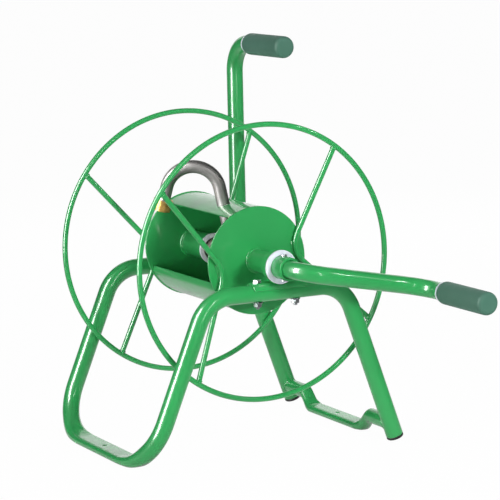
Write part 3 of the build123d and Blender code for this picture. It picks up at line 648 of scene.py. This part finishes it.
def map_range(tree, value, source, target, way="LINEAR"):
    """Value carried from the source span to the target span."""
    spans = dict(zip(("From Min", "From Max", "To Min", "To Max"), (*source, *target)))
    stretch = add_node(tree, "MapRange", {"Value": value, **spans})
    stretch.interpolation_type = way
    return stretch.outputs["Result"]


def mix_colours(tree, share, first, second):
    """First colour turned into the second by a share; a colour is four values or a socket."""
    mix = tree.nodes.new("ShaderNodeMix")
    mix.data_type = "RGBA"
    set_inputs(mix, {0: share, 6: first, 7: second})
    return mix.outputs[2]


def group_node(tree, group, values):
    """Outputs of a shared group with its inputs set."""
    node = tree.nodes.new("ShaderNodeGroup")
    node.node_tree = group
    set_inputs(node, values)
    return node.outputs


def make_surface_group():
    """Surface group: slow tone drift, patches of gloss and a fine grain, each a value round 0.5."""
    group, enter, leave = new_group("surface_variation", SCALE_LABELS, ("Drift", "Patch", "Grain"))
    for name, detail, roughness in (("Drift", 2.0, 0.5), ("Patch", 4.0, 0.6), ("Grain", 2.0, 0.5)):
        set_inputs(leave, {name: noise_node(group, enter.outputs[f"{name} Scale"], detail, roughness)})
    return group


def make_dust_group():
    """Dust group: settles on faces that look up, broken by noise. Dust = up^3 noise amount."""
    group, enter, leave = new_group("settled_dust", ("Amount",), ("Dust",))
    normal = group.nodes.new("ShaderNodeNewGeometry").outputs["Normal"]
    split = add_node(group, "SeparateXYZ", {0: normal})
    up = math_node(group, "POWER", math_node(group, "MAXIMUM", split.outputs["Z"], 0.0), 3.0)
    broken = noise_node(group, DUST_SCALE, 4.0, 0.6)
    dust = math_node(group, "MULTIPLY", math_node(group, "MULTIPLY", up, broken), enter.outputs["Amount"])
    set_inputs(leave, {"Dust": dust})
    return group


SURFACE_GROUP = make_surface_group()
DUST_GROUP = make_dust_group()


def shader_of(material):
    """Main shader of a finish."""
    return material.node_tree.nodes["Principled BSDF"]


def make_finish(name, dark, light, rough, grain, scales, dust=0.0, extra=()):
    """Finish with two tones, a roughness range, a grain bump (height in millimetres), settled dust and
    extra inputs of its shader."""
    material = bpy.data.materials.new(name)
    material.use_nodes = True
    tree = material.node_tree
    variation = group_node(tree, SURFACE_GROUP, dict(zip(SCALE_LABELS, scales)))
    drift = map_range(tree, variation["Drift"], NOISE_SPAN, (0.0, 1.0))
    colour = mix_colours(tree, drift, (*dark, 1.0), (*light, 1.0))
    if dust:
        settled = group_node(tree, DUST_GROUP, {"Amount": dust})
        colour = mix_colours(tree, settled["Dust"], colour, DUST_COLOUR)
    gloss = map_range(tree, variation["Patch"], NOISE_SPAN, rough)
    bump = add_node(tree, "Bump", {"Distance": grain * MM, "Strength": 1.0, "Height": variation["Grain"]})
    set_inputs(shader_of(material), {"Base Color": colour, "Roughness": gloss,
                                     "Normal": bump.outputs["Normal"], **dict(extra)})
    return material


green = make_finish("green_powder_coat", (0.022, 0.325, 0.08), (0.028, 0.375, 0.095), (0.3, 0.37), 0.0005,
                    (7.0, 40.0, 380.0), dust=0.02, extra={"Coat Weight": 0.8, "Coat Roughness": 0.06})

rubber = make_finish("black_rubber", (0.012, 0.012, 0.012), (0.02, 0.02, 0.02), (0.45, 0.6), 0.05,
                     (20, 90, 1500), dust=0.08)

zinc = make_finish("zinc_plate", (0.6, 0.62, 0.66), (0.76, 0.78, 0.82), (0.24, 0.36), 0.02,
                   (60, 260, 2600), extra=METAL)

steel = make_finish("turned_steel", (0.4, 0.41, 0.42), (0.52, 0.52, 0.53), (0.28, 0.42), 0.03,
                    (30, 140, 1900), extra=METAL)

pipe_metal = make_finish("pipe_steel", (0.34, 0.33, 0.32), (0.46, 0.44, 0.43), (0.42, 0.54), 0.01,
                         (26, 110, 1300), extra=METAL)

brass = make_finish("machined_brass", (0.64, 0.39, 0.11), (0.76, 0.5, 0.16), (0.34, 0.46), 0.02,
                    (40, 160, 2000), extra=METAL)

nylon = make_finish("white_nylon", (0.76, 0.78, 0.88), (0.82, 0.84, 0.92), (0.34, 0.46), 0.03,
                    (25, 90, 1400),
                    extra={"Subsurface Weight": 0.08, "Subsurface Radius": (0.004, 0.004, 0.004)})

grip_skin = make_finish("grip_skin", (0.06, 0.16, 0.113), (0.072, 0.18, 0.13), (0.46, 0.6), 0.03,
                        (18, 80, 1100), dust=0.03, extra={"Specular IOR Level": 0.25})

dull_brass = make_finish("dull_brass", (0.26, 0.23, 0.19), (0.36, 0.32, 0.27), (0.4, 0.6), 0.03,
                         (40, 160, 2000), extra=METAL)

SLOT_FINISH = {
    "green_coat": green, "black_cap": rubber, "zinc_bolt": zinc, "plain_steel": steel, "white_nylon": nylon,
    "grey_pipe": pipe_metal, "brass": brass, "grip": grip_skin,
}


def dress_nodes():
    """Give every carried-over node the finish of its slot in the record, except the swivel, which gets dull
    brass.
    """
    for part in frame["record"]["subparts"]:
        node = frame["nodes"].get(part["node"])
        if node is None:
            continue
        node.data.materials.clear()
        finish = dull_brass if part["node"] == "swivel" else SLOT_FINISH[part["material_slot"]]
        node.data.materials.append(finish)


# Stand

def leg_x(z):
    """Place of a free leg's middle line at height z."""
    return RIGHT_CORNER + (BAR_Z - z) * LEG_SLOPE


def drill_anchor(piece, x):
    """Anchor hole down through the middle of a pressed floor run."""
    start, end = (np.array((x, 0.0, z)) for z in ANCHOR_SPAN)
    drill(piece, start, end, ANCHOR_R)


def make_stand_tube():
    """Both bows and the floor run, each half from the middle of the run to its foot.
    The run is pressed flat and comes back to round inside the floor bend."""
    foot_z = PLUG_BOTTOM + PLUG_BASE * math.cos(LEG_LEAN)
    taper = BOW_Y - FLOOR_BEND - FLAT_LENGTH / 2 + FLOOR_BEND * math.radians(PRESS_ARC)
    grids = []
    for side, _ in SIDES:
        bow = side * BOW_Y
        corners = [(-RUN_X, 0, TUBE_R), (-RUN_X, bow, TUBE_R), (LEFT_CORNER, bow, BAR_Z),
                   (RIGHT_CORNER, bow, BAR_Z), (leg_x(foot_z), bow, foot_z)]
        points, ways, normals = bent_route(corners, [FLOOR_BEND, TOP_BEND, TOP_BEND], X_AXIS)
        gone = np.cumsum(np.linalg.norm(np.diff(points, axis=0, prepend=points[:1]), axis=1))
        pressed = 1 - smooth_step((gone - FLAT_LENGTH / 2) / taper)
        across, up, half_height = pressed_section(pressed, TUBE_R, FLAT_WIDTH)
        above = np.cross(ways, normals) * -side
        middle = points - above * (TUBE_R - half_height)[:, None]
        grid = middle[:, None] + normals[:, None] * across[:, :, None] + above[:, None] * up[:, :, None]
        grids.append((capped(grid, first=False), False))
    piece = make_piece("stand_tube", grids, "stand", ["frame_tube"])
    drill_anchor(piece, -RUN_X)


def make_cross_tube():
    """Low tube between the free legs: round arms that drop to the floor and then are pressed flat."""
    reach = BOW_Y - CROSS_INSET
    y = np.linspace(-reach, reach, CROSS_ROWS)
    away = np.clip((np.abs(y) - FLAT_LENGTH / 2) / CROSS_FLAT_TAPER, 0.0, 1.0)
    dropped = smooth_step((1 - away) / CROSS_DROP_SHARE)
    pressed = smooth_step(1 - away / CROSS_DROP_SHARE)
    across, up, half_height = pressed_section(pressed, CROSS_R, CROSS_FLAT_WIDTH)
    middle = half_height + (CROSS_Z - CROSS_R) * (1 - dropped)
    grid = spread(across + RUN_X, y[:, None], up + middle[:, None])
    piece = make_piece("cross_tube_run", [(capped(grid), False)], "stand", ["cross_tube"])
    drill_anchor(piece, RUN_X)
    turn = even_turn(CROSS_BEAD_ROWS)
    seam = BOW_Y - np.sqrt(TUBE_R ** 2 - (CROSS_R * np.cos(turn - LEG_LEAN)) ** 2)
    beads = []
    for side, _ in SIDES:
        path = spread(RUN_X + CROSS_R * np.cos(turn), side * seam, CROSS_Z + CROSS_R * np.sin(turn))
        beads.append((bead_grid(path, Y_AXIS, CROSS_BEAD), True))
    make_piece("cross_tube_welds", beads, "stand")


def make_foot_plugs():
    """Black plugs in the free legs, closed below with a rounded edge."""
    way = np.array((-math.sin(LEG_LEAN), 0.0, math.cos(LEG_LEAN)))
    corners = [(0, 0), (0, TUBE_R), (PLUG_BASE, TUBE_R), (PLUG_BASE, 0)]
    profile = softened(corners, PLUG_ROUNDING, False, PLUG_STEPS)
    for side, name in SIDES:
        node = f"{name}_foot_plug"
        grid = turned_grid(profile, np.array((leg_x(PLUG_BOTTOM), side * BOW_Y, PLUG_BOTTOM)), way)
        make_piece(f"{node}_head", [(grid, False)], "stand", [node], "black_cap")


def make_saddles():
    """Plates wrapped over the top bars, with the small welds that hold the bearing housings."""
    angle = np.radians(np.linspace(-SADDLE_WRAP, SADDLE_WRAP, SADDLE_COLUMNS))
    x = np.linspace(AXLE_X - SADDLE_LENGTH / 2, AXLE_X + SADDLE_LENGTH / 2, SADDLE_ROWS)
    turn = even_turn(SADDLE_BEAD_ROWS)
    y_off = math.sqrt(SADDLE_R ** 2 - (AXLE_Z - BAR_Z - HOUSING_R) ** 2) * np.cos(turn)
    top = BAR_Z + np.sqrt(SADDLE_R ** 2 - y_off ** 2)
    x_off = np.sqrt(np.maximum(HOUSING_R ** 2 - (AXLE_Z - top) ** 2, 0.0)) * np.sign(np.sin(turn))
    for side, name in SIDES:
        bow = side * BOW_Y
        grid = spread(x[:, None], bow - SADDLE_R * np.sin(angle), BAR_Z + SADDLE_R * np.cos(angle))
        sheet_piece(f"{name}_saddle_plate", grid, SADDLE_THICKNESS, SADDLE_EDGE, "stand", [f"{name}_saddle"])
        path = spread(AXLE_X + x_off * BEAD_SPREAD, bow + y_off * BEAD_SPREAD, top + BEAD_RAISE)
        make_piece(f"{name}_saddle_weld", [(bead_grid(path, Z_AXIS, SADDLE_BEAD), True)], "stand")


def bolt_grids(seat, way, grip):
    """Hex bolt from its head seat: chamfered head, washer, nut and the threaded tail."""
    out = grip + WASHER
    tail = out + NUT_HEIGHT - BOLT_SINK
    washer = softened([(grip, 0), (grip, WASHER_R), (out, WASHER_R), (out, 0)], WASHER_EDGE, False)
    shank = [(0, 0), (0, BOLT_R), (grip, BOLT_R), (grip, 0)]
    thread = thread_grid(seat + way * tail, way, BOLT_R, BOLT_GROOVE, BOLT_PITCH,
                         BOLT_TAIL + BOLT_SINK, BOLT_BORE, BOLT_SIDES)
    grids = [hex_grid(seat, -way, BOLT_FLATS, BOLT_HEAD), turned_grid(washer, seat, way),
             hex_grid(seat + way * out, way, BOLT_FLATS, NUT_HEIGHT), thread,
             turned_grid(shank, seat, way, BOLT_SIDES)]
    return [(grid, False) for grid in grids]


def make_bolts():
    """Saddle bolts and brace bolts in zinc."""
    for side, name in SIDES:
        grids = []
        for offset in (-BOLT_SPREAD, BOLT_SPREAD):
            seat = np.array((AXLE_X + offset, side * BOW_Y, BAR_Z + SADDLE_R))
            grids += bolt_grids(seat, -Z_AXIS, SADDLE_R + TUBE_R)
        nodes = [f"{name}_saddle_bolts"]
        make_piece(f"{name}_saddle_screws", grids, "stand", nodes, "zinc_bolt", HARD_CREASE)
    grids = []
    for drop in BRACE_BOLT_DROPS:
        seat = np.array((BRACE_X, BOW_Y - TUBE_R, AXLE_Z + drop))
        grids += bolt_grids(seat, Y_AXIS, BRACE_Y - BOW_Y + 2 * TUBE_R)
    make_piece("brace_screws", grids, "stand", ["brace_bolts"], "zinc_bolt", HARD_CREASE)


def axle_piece(name, profile, body, node, slot="green_coat"):
    """Turned piece on the axle line; stations count from the reel's middle."""
    grid = turned_grid(profile, reel_point(0, 0, 0), Y_AXIS)
    make_piece(name, [(grid, True)], body, [node], slot)


def axle_ring(name, span, outer, inner, edge, body, node, slot="green_coat"):
    """Ring on the axle line between two stations."""
    axle_piece(name, ring_profile(*span, outer, inner, edge), body, node, slot)


def make_housings():
    """Bearing housings on the saddles."""
    span = (NEAR_OUT, NEAR_OUT + HOUSING_LENGTH)
    axle_ring("near_bearing", span, HOUSING_R, HOUSING_BORE, EDGE, "stand", "near_housing")
    span = (FAR_OUT - HOUSING_LENGTH, FAR_OUT)
    axle_ring("far_bearing", span, HOUSING_R, AXLE_R, EDGE, "stand", "far_housing")


def make_bushing(node, body, seat, out, sleeve, flange):
    """Flanged nylon bushing with its flange on the out side of the seat; sleeve and flange are each
    a radius and a length."""
    face = seat + out * flange[1]
    end = seat - out * sleeve[1]
    corners = [(face, BEARING_R), (face, flange[0]), (seat, flange[0]), (seat, sleeve[0]),
               (end, sleeve[0]), (end, BEARING_R)]
    axle_piece(f"{node}_turned", softened(corners, BUSHING_EDGE), body, node, "white_nylon")


def make_bushings():
    """Bushing of the near axle, and both bushings of the far hub."""
    make_bushing("near_bushing", "stand", NEAR_OUT, -1, (HOUSING_BORE, HOUSING_LENGTH),
                 (FLANGE_R, FLANGE_THICKNESS))
    for place, seat, out in (("inner", DISC_OUT - HUB_LENGTH, -1), ("outer", DISC_OUT, 1)):
        make_bushing(f"hub_{place}_bushing", "reel", seat, out, (HUB_BORE, HUB_SLEEVE),
                     (HUB_FLANGE_R, HUB_FLANGE))


def make_spindle():
    """Fixed spindle of the far hub and the collars that stop end play."""
    span = (DISC_OUT - HUB_LENGTH + SPINDLE_SETBACK, SPINDLE_END)
    axle_ring("spindle_turned", span, AXLE_R, AXLE_BORE, SPINDLE_EDGE, "stand", "spindle", "plain_steel")
    stop = DISC_OUT + HUB_FLANGE + END_PLAY
    span = (stop, stop + COLLAR_LENGTH)
    axle_ring("spindle_stop", span, COLLAR_R, AXLE_R, EDGE, "stand", "spindle_collar", "plain_steel")
    stop = NEAR_OUT + HOUSING_LENGTH + END_PLAY
    span = (stop, stop + AXLE_COLLAR_LENGTH)
    axle_ring("axle_stop", span, AXLE_COLLAR_R, AXLE_R, EDGE, "reel", "axle_collar")


# Reel

def make_discs():
    """End discs of the drum."""
    axle_ring("near_disc_plate", (-DISC_OUT, -DISC_IN), DISC_R, AXLE_R, DISC_EDGE, "reel", "near_disc")
    axle_ring("far_disc_plate", (DISC_IN, DISC_OUT), DISC_R, HUB_R, DISC_EDGE, "reel", "far_disc")


def make_shell():
    """Rolled shell with its turned-up lip and the hole that the gooseneck comes out of."""
    angle = np.radians(np.linspace(OPENING_BOTTOM + LIP_TURN, OPENING_TOP + 360.0, SHELL_COLUMNS))
    start = math.radians(OPENING_BOTTOM)
    lip = SHELL_R * np.array((math.cos(start), math.sin(start)))
    rolled = SHELL_R * np.stack((np.cos(angle), np.sin(angle)), -1)[2:]
    fold = softened([lip + (0.0, LIP_HEIGHT), lip, rolled[0]], LIP_BEND, False, LIP_STEPS)
    x, z = np.concatenate((fold[:-1], rolled)).T
    y = np.linspace(-DISC_IN + SHELL_GAP, DISC_IN - SHELL_GAP, SHELL_ROWS)
    grid = spread(AXLE_X + x, REEL_Y + y[:, None], AXLE_Z + z)
    shell = sheet_piece("drum_sheet", grid, SHELL_THICKNESS, SHELL_EDGE, "reel", ["drum_shell"])
    root, out = goose_frame()[:2]
    drill(shell, root, root + out * PIPE_HOLE_REACH, PIPE_R + PIPE_HOLE_GAP)


def make_axle():
    """Near axle pipe and far hub, with the beads that weld them to the discs."""
    span = (AXLE_END, -DISC_IN + AXLE_INSERT)
    axle_ring("near_axle_pipe", span, AXLE_R, AXLE_BORE, AXLE_EDGE, "reel", "near_axle")
    span = (DISC_OUT - HUB_LENGTH, DISC_OUT)
    axle_ring("far_hub_pipe", span, HUB_R, HUB_BORE, HUB_EDGE, "reel", "far_hub")
    beads = []
    for y, radius in ((-DISC_OUT, AXLE_R), (DISC_IN, HUB_R)):
        centre = reel_point(0, y - BEAD_RAISE, 0)
        path = circle_path(centre, Y_AXIS, radius + DRUM_BEAD_OUT, DRUM_BEAD_ROWS)
        beads.append((bead_grid(path, Y_AXIS, DRUM_BEAD), True))
    make_piece("drum_welds", beads, "reel")


def spoke_corners(side, angles):
    """Ring ends and sharp vertex of one V rod, with the middle of its bend on the disc."""
    half = math.radians(angles[0] - angles[1]) / 2
    middle = math.radians(angles[0] + angles[1]) / 2
    depth = RING_R * math.cos(half) - SPOKE_VERTEX_R
    run = math.hypot(depth, RING_R * math.sin(half))
    shift = SPOKE_BEND * (1 / math.sqrt(1 - (depth / run) ** 2) - 1)
    touch = DISC_OUT + ROD_R + SEAT
    vertex_y = touch - shift * (RING_Y - touch) / (depth - shift)
    stations = ((middle + half, RING_R, RING_Y), (middle, SPOKE_VERTEX_R, vertex_y),
                (middle - half, RING_R, RING_Y))
    return [reel_point(r * math.cos(a), side * y, r * math.sin(a)) for a, r, y in stations]


def make_rings():
    """Wire rings, the V rods welded to them and to the discs, and their weld beads."""
    for side, name in SIDES:
        points = circle_path(reel_point(0, side * RING_Y, 0), Y_AXIS, RING_R, RING_ROWS)
        normals = np.repeat(Y_AXIS[None], RING_ROWS, 0)
        grid = tube_grid((points, loop_ways(points), normals), ROD_R, ROD_SIDES)
        make_piece(f"{name}_ring_rod", [(grid, True)], "reel", [f"{name}_ring"])
        beads = []
        for label, angles in SPOKE_ANGLES.items():
            route = bent_route(spoke_corners(side, angles), [SPOKE_BEND], Y_AXIS, ROD_STEP)
            grid = capped(tube_grid(route, ROD_R, ROD_SIDES))
            make_piece(f"{name}_{label}_rod", [(grid, False)], "reel", [f"{name}_{label}_spoke"])
            beads += rod_beads(route, side)
        make_piece(f"{name}_rod_welds", beads, "reel")


def rod_beads(route, side):
    """Beads round both ring ends of a rod, and one along each side of its bend on the disc."""
    points, ways, _ = route
    grids = []
    for pick, sign in ((0, 1.0), (-1, -1.0)):
        way = ways[pick] * sign
        centre = points[pick] + way * (ROD_R + BEAD_RAISE)
        path = circle_path(centre, way, ROD_R - RING_BEAD_IN, RING_BEAD_ROWS)
        grids.append((bead_grid(path, way, RING_BEAD), True))
    middle = len(points) // 2
    near = slice(middle - DISC_BEAD_ROWS, middle + DISC_BEAD_ROWS + 1)
    for sign in (-1.0, 1.0):
        path = points[near] + sign * (ROD_R - DISC_BEAD_IN) * np.cross(ways[near], Y_AXIS)
        path[:, 1] = REEL_Y + side * (DISC_OUT + DISC_BEAD_RAISE)
        grids.append((bead_grid(path, Y_AXIS, DISC_BEAD, closed=False), False))
    return grids


# Crank and brace

def make_crank():
    """Crank tube plugged into the axle, its cross pin, and the spinning grip."""
    grip_base = CRANK_ARM - CRANK_BEND - CRANK_GRIP_GAP
    corners = [reel_point(0, AXLE_END + CRANK_INSERT, 0), reel_point(0, CRANK_ARM, 0),
               reel_point(CRANK_X, CRANK_ARM, CRANK_Z),
               reel_point(CRANK_X, grip_base - GRIP_LENGTH / 2, CRANK_Z)]
    route = bent_route(corners, [CRANK_BEND, CRANK_BEND], Z_AXIS)
    grid = open_tube_grid(route, CRANK_HOLLOW)
    make_piece("crank_bar", [(grid, False)], "reel", ["crank_tube"])
    top = AXLE_R + PIN_HEAD
    half = [(-top, 0), (-top, PIN_HEAD_R), (-AXLE_R, PIN_HEAD_R), (-AXLE_R, PIN_R)]
    profile = softened(half + [(-s, r) for s, r in half[::-1]], EDGE, False)
    grid = turned_grid(profile, reel_point(0, AXLE_END + PIN_FROM_END, 0), Z_AXIS, PIPE_SIDES)
    make_piece("crank_cross_pin", [(grid, False)], "reel", ["crank_pin"], "zinc_bolt")
    make_grip("crank", reel_point(CRANK_X, grip_base, CRANK_Z))


def make_grip(name, base):
    """Grip on its nylon sleeve, closed and rounded at its free end, softly rounded at its base."""
    body = f"{name}_handle"
    flange = ring_profile(0, SLEEVE_FLANGE, SLEEVE_FLANGE_R, TUBE_R + SLEEVE_GAP, SLEEVE_EDGE)
    grid = turned_grid(flange, base, -Y_AXIS)
    make_piece(f"{name}_grip_ring", [(grid, True)], body, [f"{name}_sleeve"], "white_nylon")
    stop = SLEEVE_FLANGE + GRIP_LENGTH
    middle = SLEEVE_FLANGE + GRIP_LENGTH / 2
    corners = [(SLEEVE_FLANGE, 0), (SLEEVE_FLANGE, GRIP_R), (middle, GRIP_R)]
    start = softened(corners, GRIP_BASE_ROUNDING, False, GRIP_STEPS)
    end = softened([(middle, GRIP_R), (stop, GRIP_R), (stop, 0)], GRIP_ROUNDING, False, GRIP_STEPS)
    grid = turned_grid(np.concatenate((start[:-1], end[1:])), base, -Y_AXIS)
    make_piece(f"{name}_grip_skin", [(grid, False)], body, [f"{name}_grip"], "grip")


def make_brace():
    """Brace upright bolted to the far bow and bent over to its grip."""
    grip_base = BRACE_Y - BRACE_BEND - BRACE_GRIP_GAP
    corners = [(BRACE_X, BRACE_Y, BRACE_FOOT), (BRACE_X, BRACE_Y, BRACE_TOP),
               (BRACE_X, grip_base - GRIP_LENGTH / 2, BRACE_TOP)]
    route = bent_route(corners, [BRACE_BEND], X_AXIS)
    grid = open_tube_grid(route, BRACE_HOLLOW)
    make_piece("brace_bar", [(grid, False)], "stand", ["brace_tube"])
    make_grip("brace", np.array((BRACE_X, grip_base, BRACE_TOP)))


# Water way

def goose_frame():
    """Root on the axle, outward direction, and sideways direction of the gooseneck's plane."""
    turn = math.radians(GOOSE_ANGLE)
    plane = math.radians(GOOSE_PLANE)
    out = np.array((math.cos(turn), 0.0, math.sin(turn)))
    along = np.array((-math.sin(turn), 0.0, math.cos(turn)))
    return reel_point(0, GOOSE_Y, 0), out, Y_AXIS * math.cos(plane) + along * math.sin(plane)


def make_gooseneck():
    """Gooseneck pipe: along the axle, out of the shell, over one big bend and down to the hose fitting.
    On the bend p = start + r (out sin t + aside (1 - cos t)), and the normal turns with it."""
    root, out, aside = goose_frame()
    corners = [reel_point(0, GOOSE_START, 0), root, root + out * GOOSE_RISE]
    inner, inner_ways, inner_normals = bent_route(corners, [GOOSE_INNER_BEND], X_AXIS)
    turn = np.radians(np.linspace(0.0, GOOSE_TURN, GOOSE_ROWS))[1:, None]
    arc = corners[-1] + GOOSE_BEND * (out * np.sin(turn) + aside * (1 - np.cos(turn)))
    axis = np.cross(out, aside)
    arc_ways = turned_about(out, axis, turn)
    arc_normals = turned_about(inner_normals[-1], axis, turn)
    tail = arc_ways[-1]
    seat = GOOSE_TAIL - SHOULDER - THREAD_LENGTH
    end = arc[-1] + tail * np.linspace(0.0, seat + PIPE_INSERT, TAIL_ROWS + 1)[1:, None]
    ways = np.concatenate((inner_ways, arc_ways, np.repeat(tail[None], TAIL_ROWS, 0)))
    normals = np.concatenate((inner_normals, arc_normals, np.repeat(arc_normals[-1:], TAIL_ROWS, 0)))
    grid = tube_grid((np.concatenate((inner, arc, end)), ways, normals), PIPE_R, PIPE_SIDES)
    make_piece("gooseneck_pipe", [(capped(grid), False)], "reel", ["gooseneck"], "grey_pipe")
    base = arc[-1] + tail * seat
    shoulder = ring_profile(0, SHOULDER, SHOULDER_R, PIPE_R, EDGE)
    grids = [(turned_grid(shoulder, base, tail), True), (hose_thread(base + tail * SHOULDER, tail), False)]
    make_piece("hose_outlet_brass", grids, "reel", ["outlet_fitting"], "brass")


def make_inlet():
    """Brass inlet at the far end of the axle: a hex and a hose thread."""
    base = reel_point(0, SPINDLE_END, 0)
    grids = [(hex_grid(base, Y_AXIS, HEX_FLATS, HEX_LENGTH), False),
             (hose_thread(base + Y_AXIS * HEX_LENGTH, Y_AXIS), False)]
    make_piece("supply_inlet_brass", grids, "stand", ["inlet_fitting"], "brass", HARD_CREASE)


# Studio, in metres

STUDIO_GREY = (0.8, 0.8, 0.8, 1.0)
FLOOR_HALF = 40.0
FLOOR_ROUGHNESS = 0.9
FLOOR_GLOW = 0.98
FLOOR_MIRROR = 0.5
FLOOR_DIM = 0.12
PATCH_CENTRE = (0.3, 0.55, 0.0)
PATCH_REACH = (0.5, 1.3)
WORLD_LIGHT = 0.03
WALL_WAY = np.array((0.463, 0.886, 0.0))
WALL_AWAY = 3.0
WALL_TURN = 0.5
WALL_HEIGHT = 2.4
WALL_GLOW = 0.65
WALL_COLUMNS = 25
WALL_ROWS = 9
AIM = np.array((0.0, 0.0, 0.28))
LENS_MM = 167.04
SENSOR_MM = 36.0
CAMERA_PLACE = (-1.5309, -3.0263, 0.80686)
CAMERA_BACK = (-0.45758491, -0.87584477, 0.15333624)
CAMERA_UP = (0.09037713, 0.12574308, 0.98793757)
CLIP_END = 100.0


def studio_material(mesh, name, values):
    """Pale material on a mesh of the studio."""
    material = bpy.data.materials.new(name)
    material.use_nodes = True
    set_inputs(shader_of(material), {"Base Color": STUDIO_GREY, **values})
    mesh.materials.append(material)
    return material


def lit_patch(tree):
    """Mask that is 1 on the lit patch of floor behind the object and fades out round it."""
    place = tree.nodes.new("ShaderNodeTexCoord").outputs["Object"]
    reach = tree.nodes.new("ShaderNodeVectorMath")
    reach.operation = "DISTANCE"
    set_inputs(reach, {0: place, 1: PATCH_CENTRE})
    return map_range(tree, reach.outputs["Value"], PATCH_REACH, (1.0, 0.0), "SMOOTHSTEP")


def make_floor():
    """Pale floor: white to the camera, lit to reflections near the object, and a share takes shadow."""
    mesh = bpy.data.meshes.new("studio_floor")
    corners = [(x * FLOOR_HALF, y * FLOOR_HALF, 0) for x, y in ((-1, -1), (1, -1), (1, 1), (-1, 1))]
    mesh.from_pydata(corners, [], [(0, 1, 2, 3)])
    floor = new_object("studio_floor", mesh)
    values = {"Roughness": FLOOR_ROUGHNESS, "Specular IOR Level": 0.0}
    material = studio_material(mesh, "studio_white", values)
    tree = material.node_tree
    shader = shader_of(material)
    rays = tree.nodes.new("ShaderNodeLightPath").outputs
    patch = math_node(tree, "MULTIPLY", lit_patch(tree), FLOOR_MIRROR)
    mirrored = math_node(tree, "ADD", patch, FLOOR_DIM)
    seen = math_node(tree, "MAXIMUM", rays["Is Camera Ray"], mirrored)
    glow = add_node(tree, "Emission", {"Color": WHITE, "Strength": seen})
    plain = math_node(tree, "MULTIPLY", rays["Is Camera Ray"], FLOOR_GLOW)
    share = math_node(tree, "MAXIMUM", plain, rays["Is Glossy Ray"])
    mix = add_node(tree, "MixShader", {0: share, 1: shader.outputs["BSDF"], 2: glow.outputs["Emission"]})
    set_inputs(tree.nodes["Material Output"], {"Surface": mix.outputs["Shader"]})


def make_world():
    """White to the camera, a much softer level for the light it gives and for reflections."""
    world = bpy.data.worlds.new("studio")
    bpy.context.scene.world = world
    world.use_nodes = True
    tree = world.node_tree
    rays = tree.nodes.new("ShaderNodeLightPath").outputs
    lift = math_node(tree, "MULTIPLY", rays["Is Camera Ray"], 1.0 - WORLD_LIGHT)
    strength = math_node(tree, "ADD", lift, WORLD_LIGHT)
    set_inputs(tree.nodes["Background"], {"Color": WHITE, "Strength": strength})


def make_backdrop():
    """White wall behind the object that shows in reflections only, bowed round the object:
    p = w (way cos(t) + right sin(t)) + up h."""
    turn = np.linspace(-WALL_TURN, WALL_TURN, WALL_COLUMNS)[:, None, None]
    height = np.linspace(0.0, WALL_HEIGHT, WALL_ROWS)[None, :, None]
    right = np.cross(WALL_WAY, Z_AXIS)
    grid = WALL_AWAY * (WALL_WAY * np.cos(turn) + right * np.sin(turn)) + Z_AXIS * height
    mesh = bpy.data.meshes.new("studio_wall")
    faces = grid_faces(WALL_COLUMNS, WALL_ROWS, False, False)
    mesh.from_pydata(grid.reshape(-1, 3).tolist(), [], faces.tolist())
    studio_material(mesh, "wall_white", {"Emission Color": WHITE, "Emission Strength": WALL_GLOW})
    wall = new_object("studio_wall", mesh)
    wall.visible_camera = False
    wall.visible_diffuse = False
    wall.visible_shadow = False


def stand_at(thing, place, back, up):
    """Place a light or camera that looks away from its back direction."""
    turn = np.eye(4)
    turn[:3, 0] = np.cross(up, back)
    turn[:3, 1] = up
    turn[:3, 2] = back
    turn[:3, 3] = place
    thing.matrix_world = Matrix(turn.tolist())


def add_light(name, place, size, watts, glint=False):
    """Rectangular light that faces the object: it either draws a glint or shades."""
    data = bpy.data.lights.new(name, "AREA")
    data.shape = "RECTANGLE"
    data.size, data.size_y = size
    data.energy = watts
    light = new_object(name, data)
    back = unit(np.asarray(place) - AIM)
    right = unit(np.cross(Z_AXIS if abs(back[2]) < ALIGNED else Y_AXIS, back))
    stand_at(light, place, back, np.cross(back, right))
    light.visible_camera = False
    light.visible_glossy = glint
    light.visible_diffuse = not glint


def make_lights():
    """Thin strips that draw the streaks on the tubes, and broad lights that shade without a glint."""
    add_light("left_strip", (-1.35, -0.2, 0.75), (0.5, 1.45), 62.0, glint=True)
    add_light("front_strip", (-0.06, -1.9, 0.85), (0.08, 1.2), 6.0, glint=True)
    add_light("arm_glint_left", (0.994, -1.167, 1.007), (0.03, 0.05), 0.8, glint=True)
    add_light("arm_glint_right", (1.137, -1.15, 0.962), (0.03, 0.05), 0.9, glint=True)
    add_light("front_key", (0.32, -2.0, 0.95), (0.36, 0.36), 27.0)
    add_light("low_soft", (-1.1, -1.9, 0.12), (0.9, 0.2), 4.5)
    add_light("left_soft", (-1.9, -0.5, 0.5), (0.5, 0.9), 18.0)
    add_light("overhead", (0.1, -0.3, 2.3), (1.6, 1.6), 12.0)
    add_light("right_soft", (2.0, -1.6, 1.3), (1.2, 1.2), 10.0)
    add_light("back_right_soft", (1.4, 2.0, 1.3), (1.0, 1.0), 20.0)
    add_light("back_left_soft", (-2.0, 1.5, 1.1), (1.0, 1.0), 14.0)


def make_camera():
    """Camera at the photograph's viewing angle."""
    data = bpy.data.cameras.new("photo_view")
    data.sensor_width = SENSOR_MM
    data.sensor_fit = "HORIZONTAL"
    data.lens = LENS_MM
    data.clip_end = CLIP_END
    camera = new_object("photo_view", data)
    stand_at(camera, CAMERA_PLACE, unit(CAMERA_BACK), unit(CAMERA_UP))
    bpy.context.scene.camera = camera


dress_nodes()
make_stand_tube()
make_cross_tube()
make_foot_plugs()
make_saddles()
make_bolts()
make_housings()
make_bushings()
make_spindle()
make_discs()
make_shell()
make_axle()
make_rings()
make_crank()
make_brace()
make_gooseneck()
make_inlet()
make_floor()
make_world()
make_backdrop()
make_lights()
make_camera()
bpy.context.scene.view_settings.view_transform = "Standard"
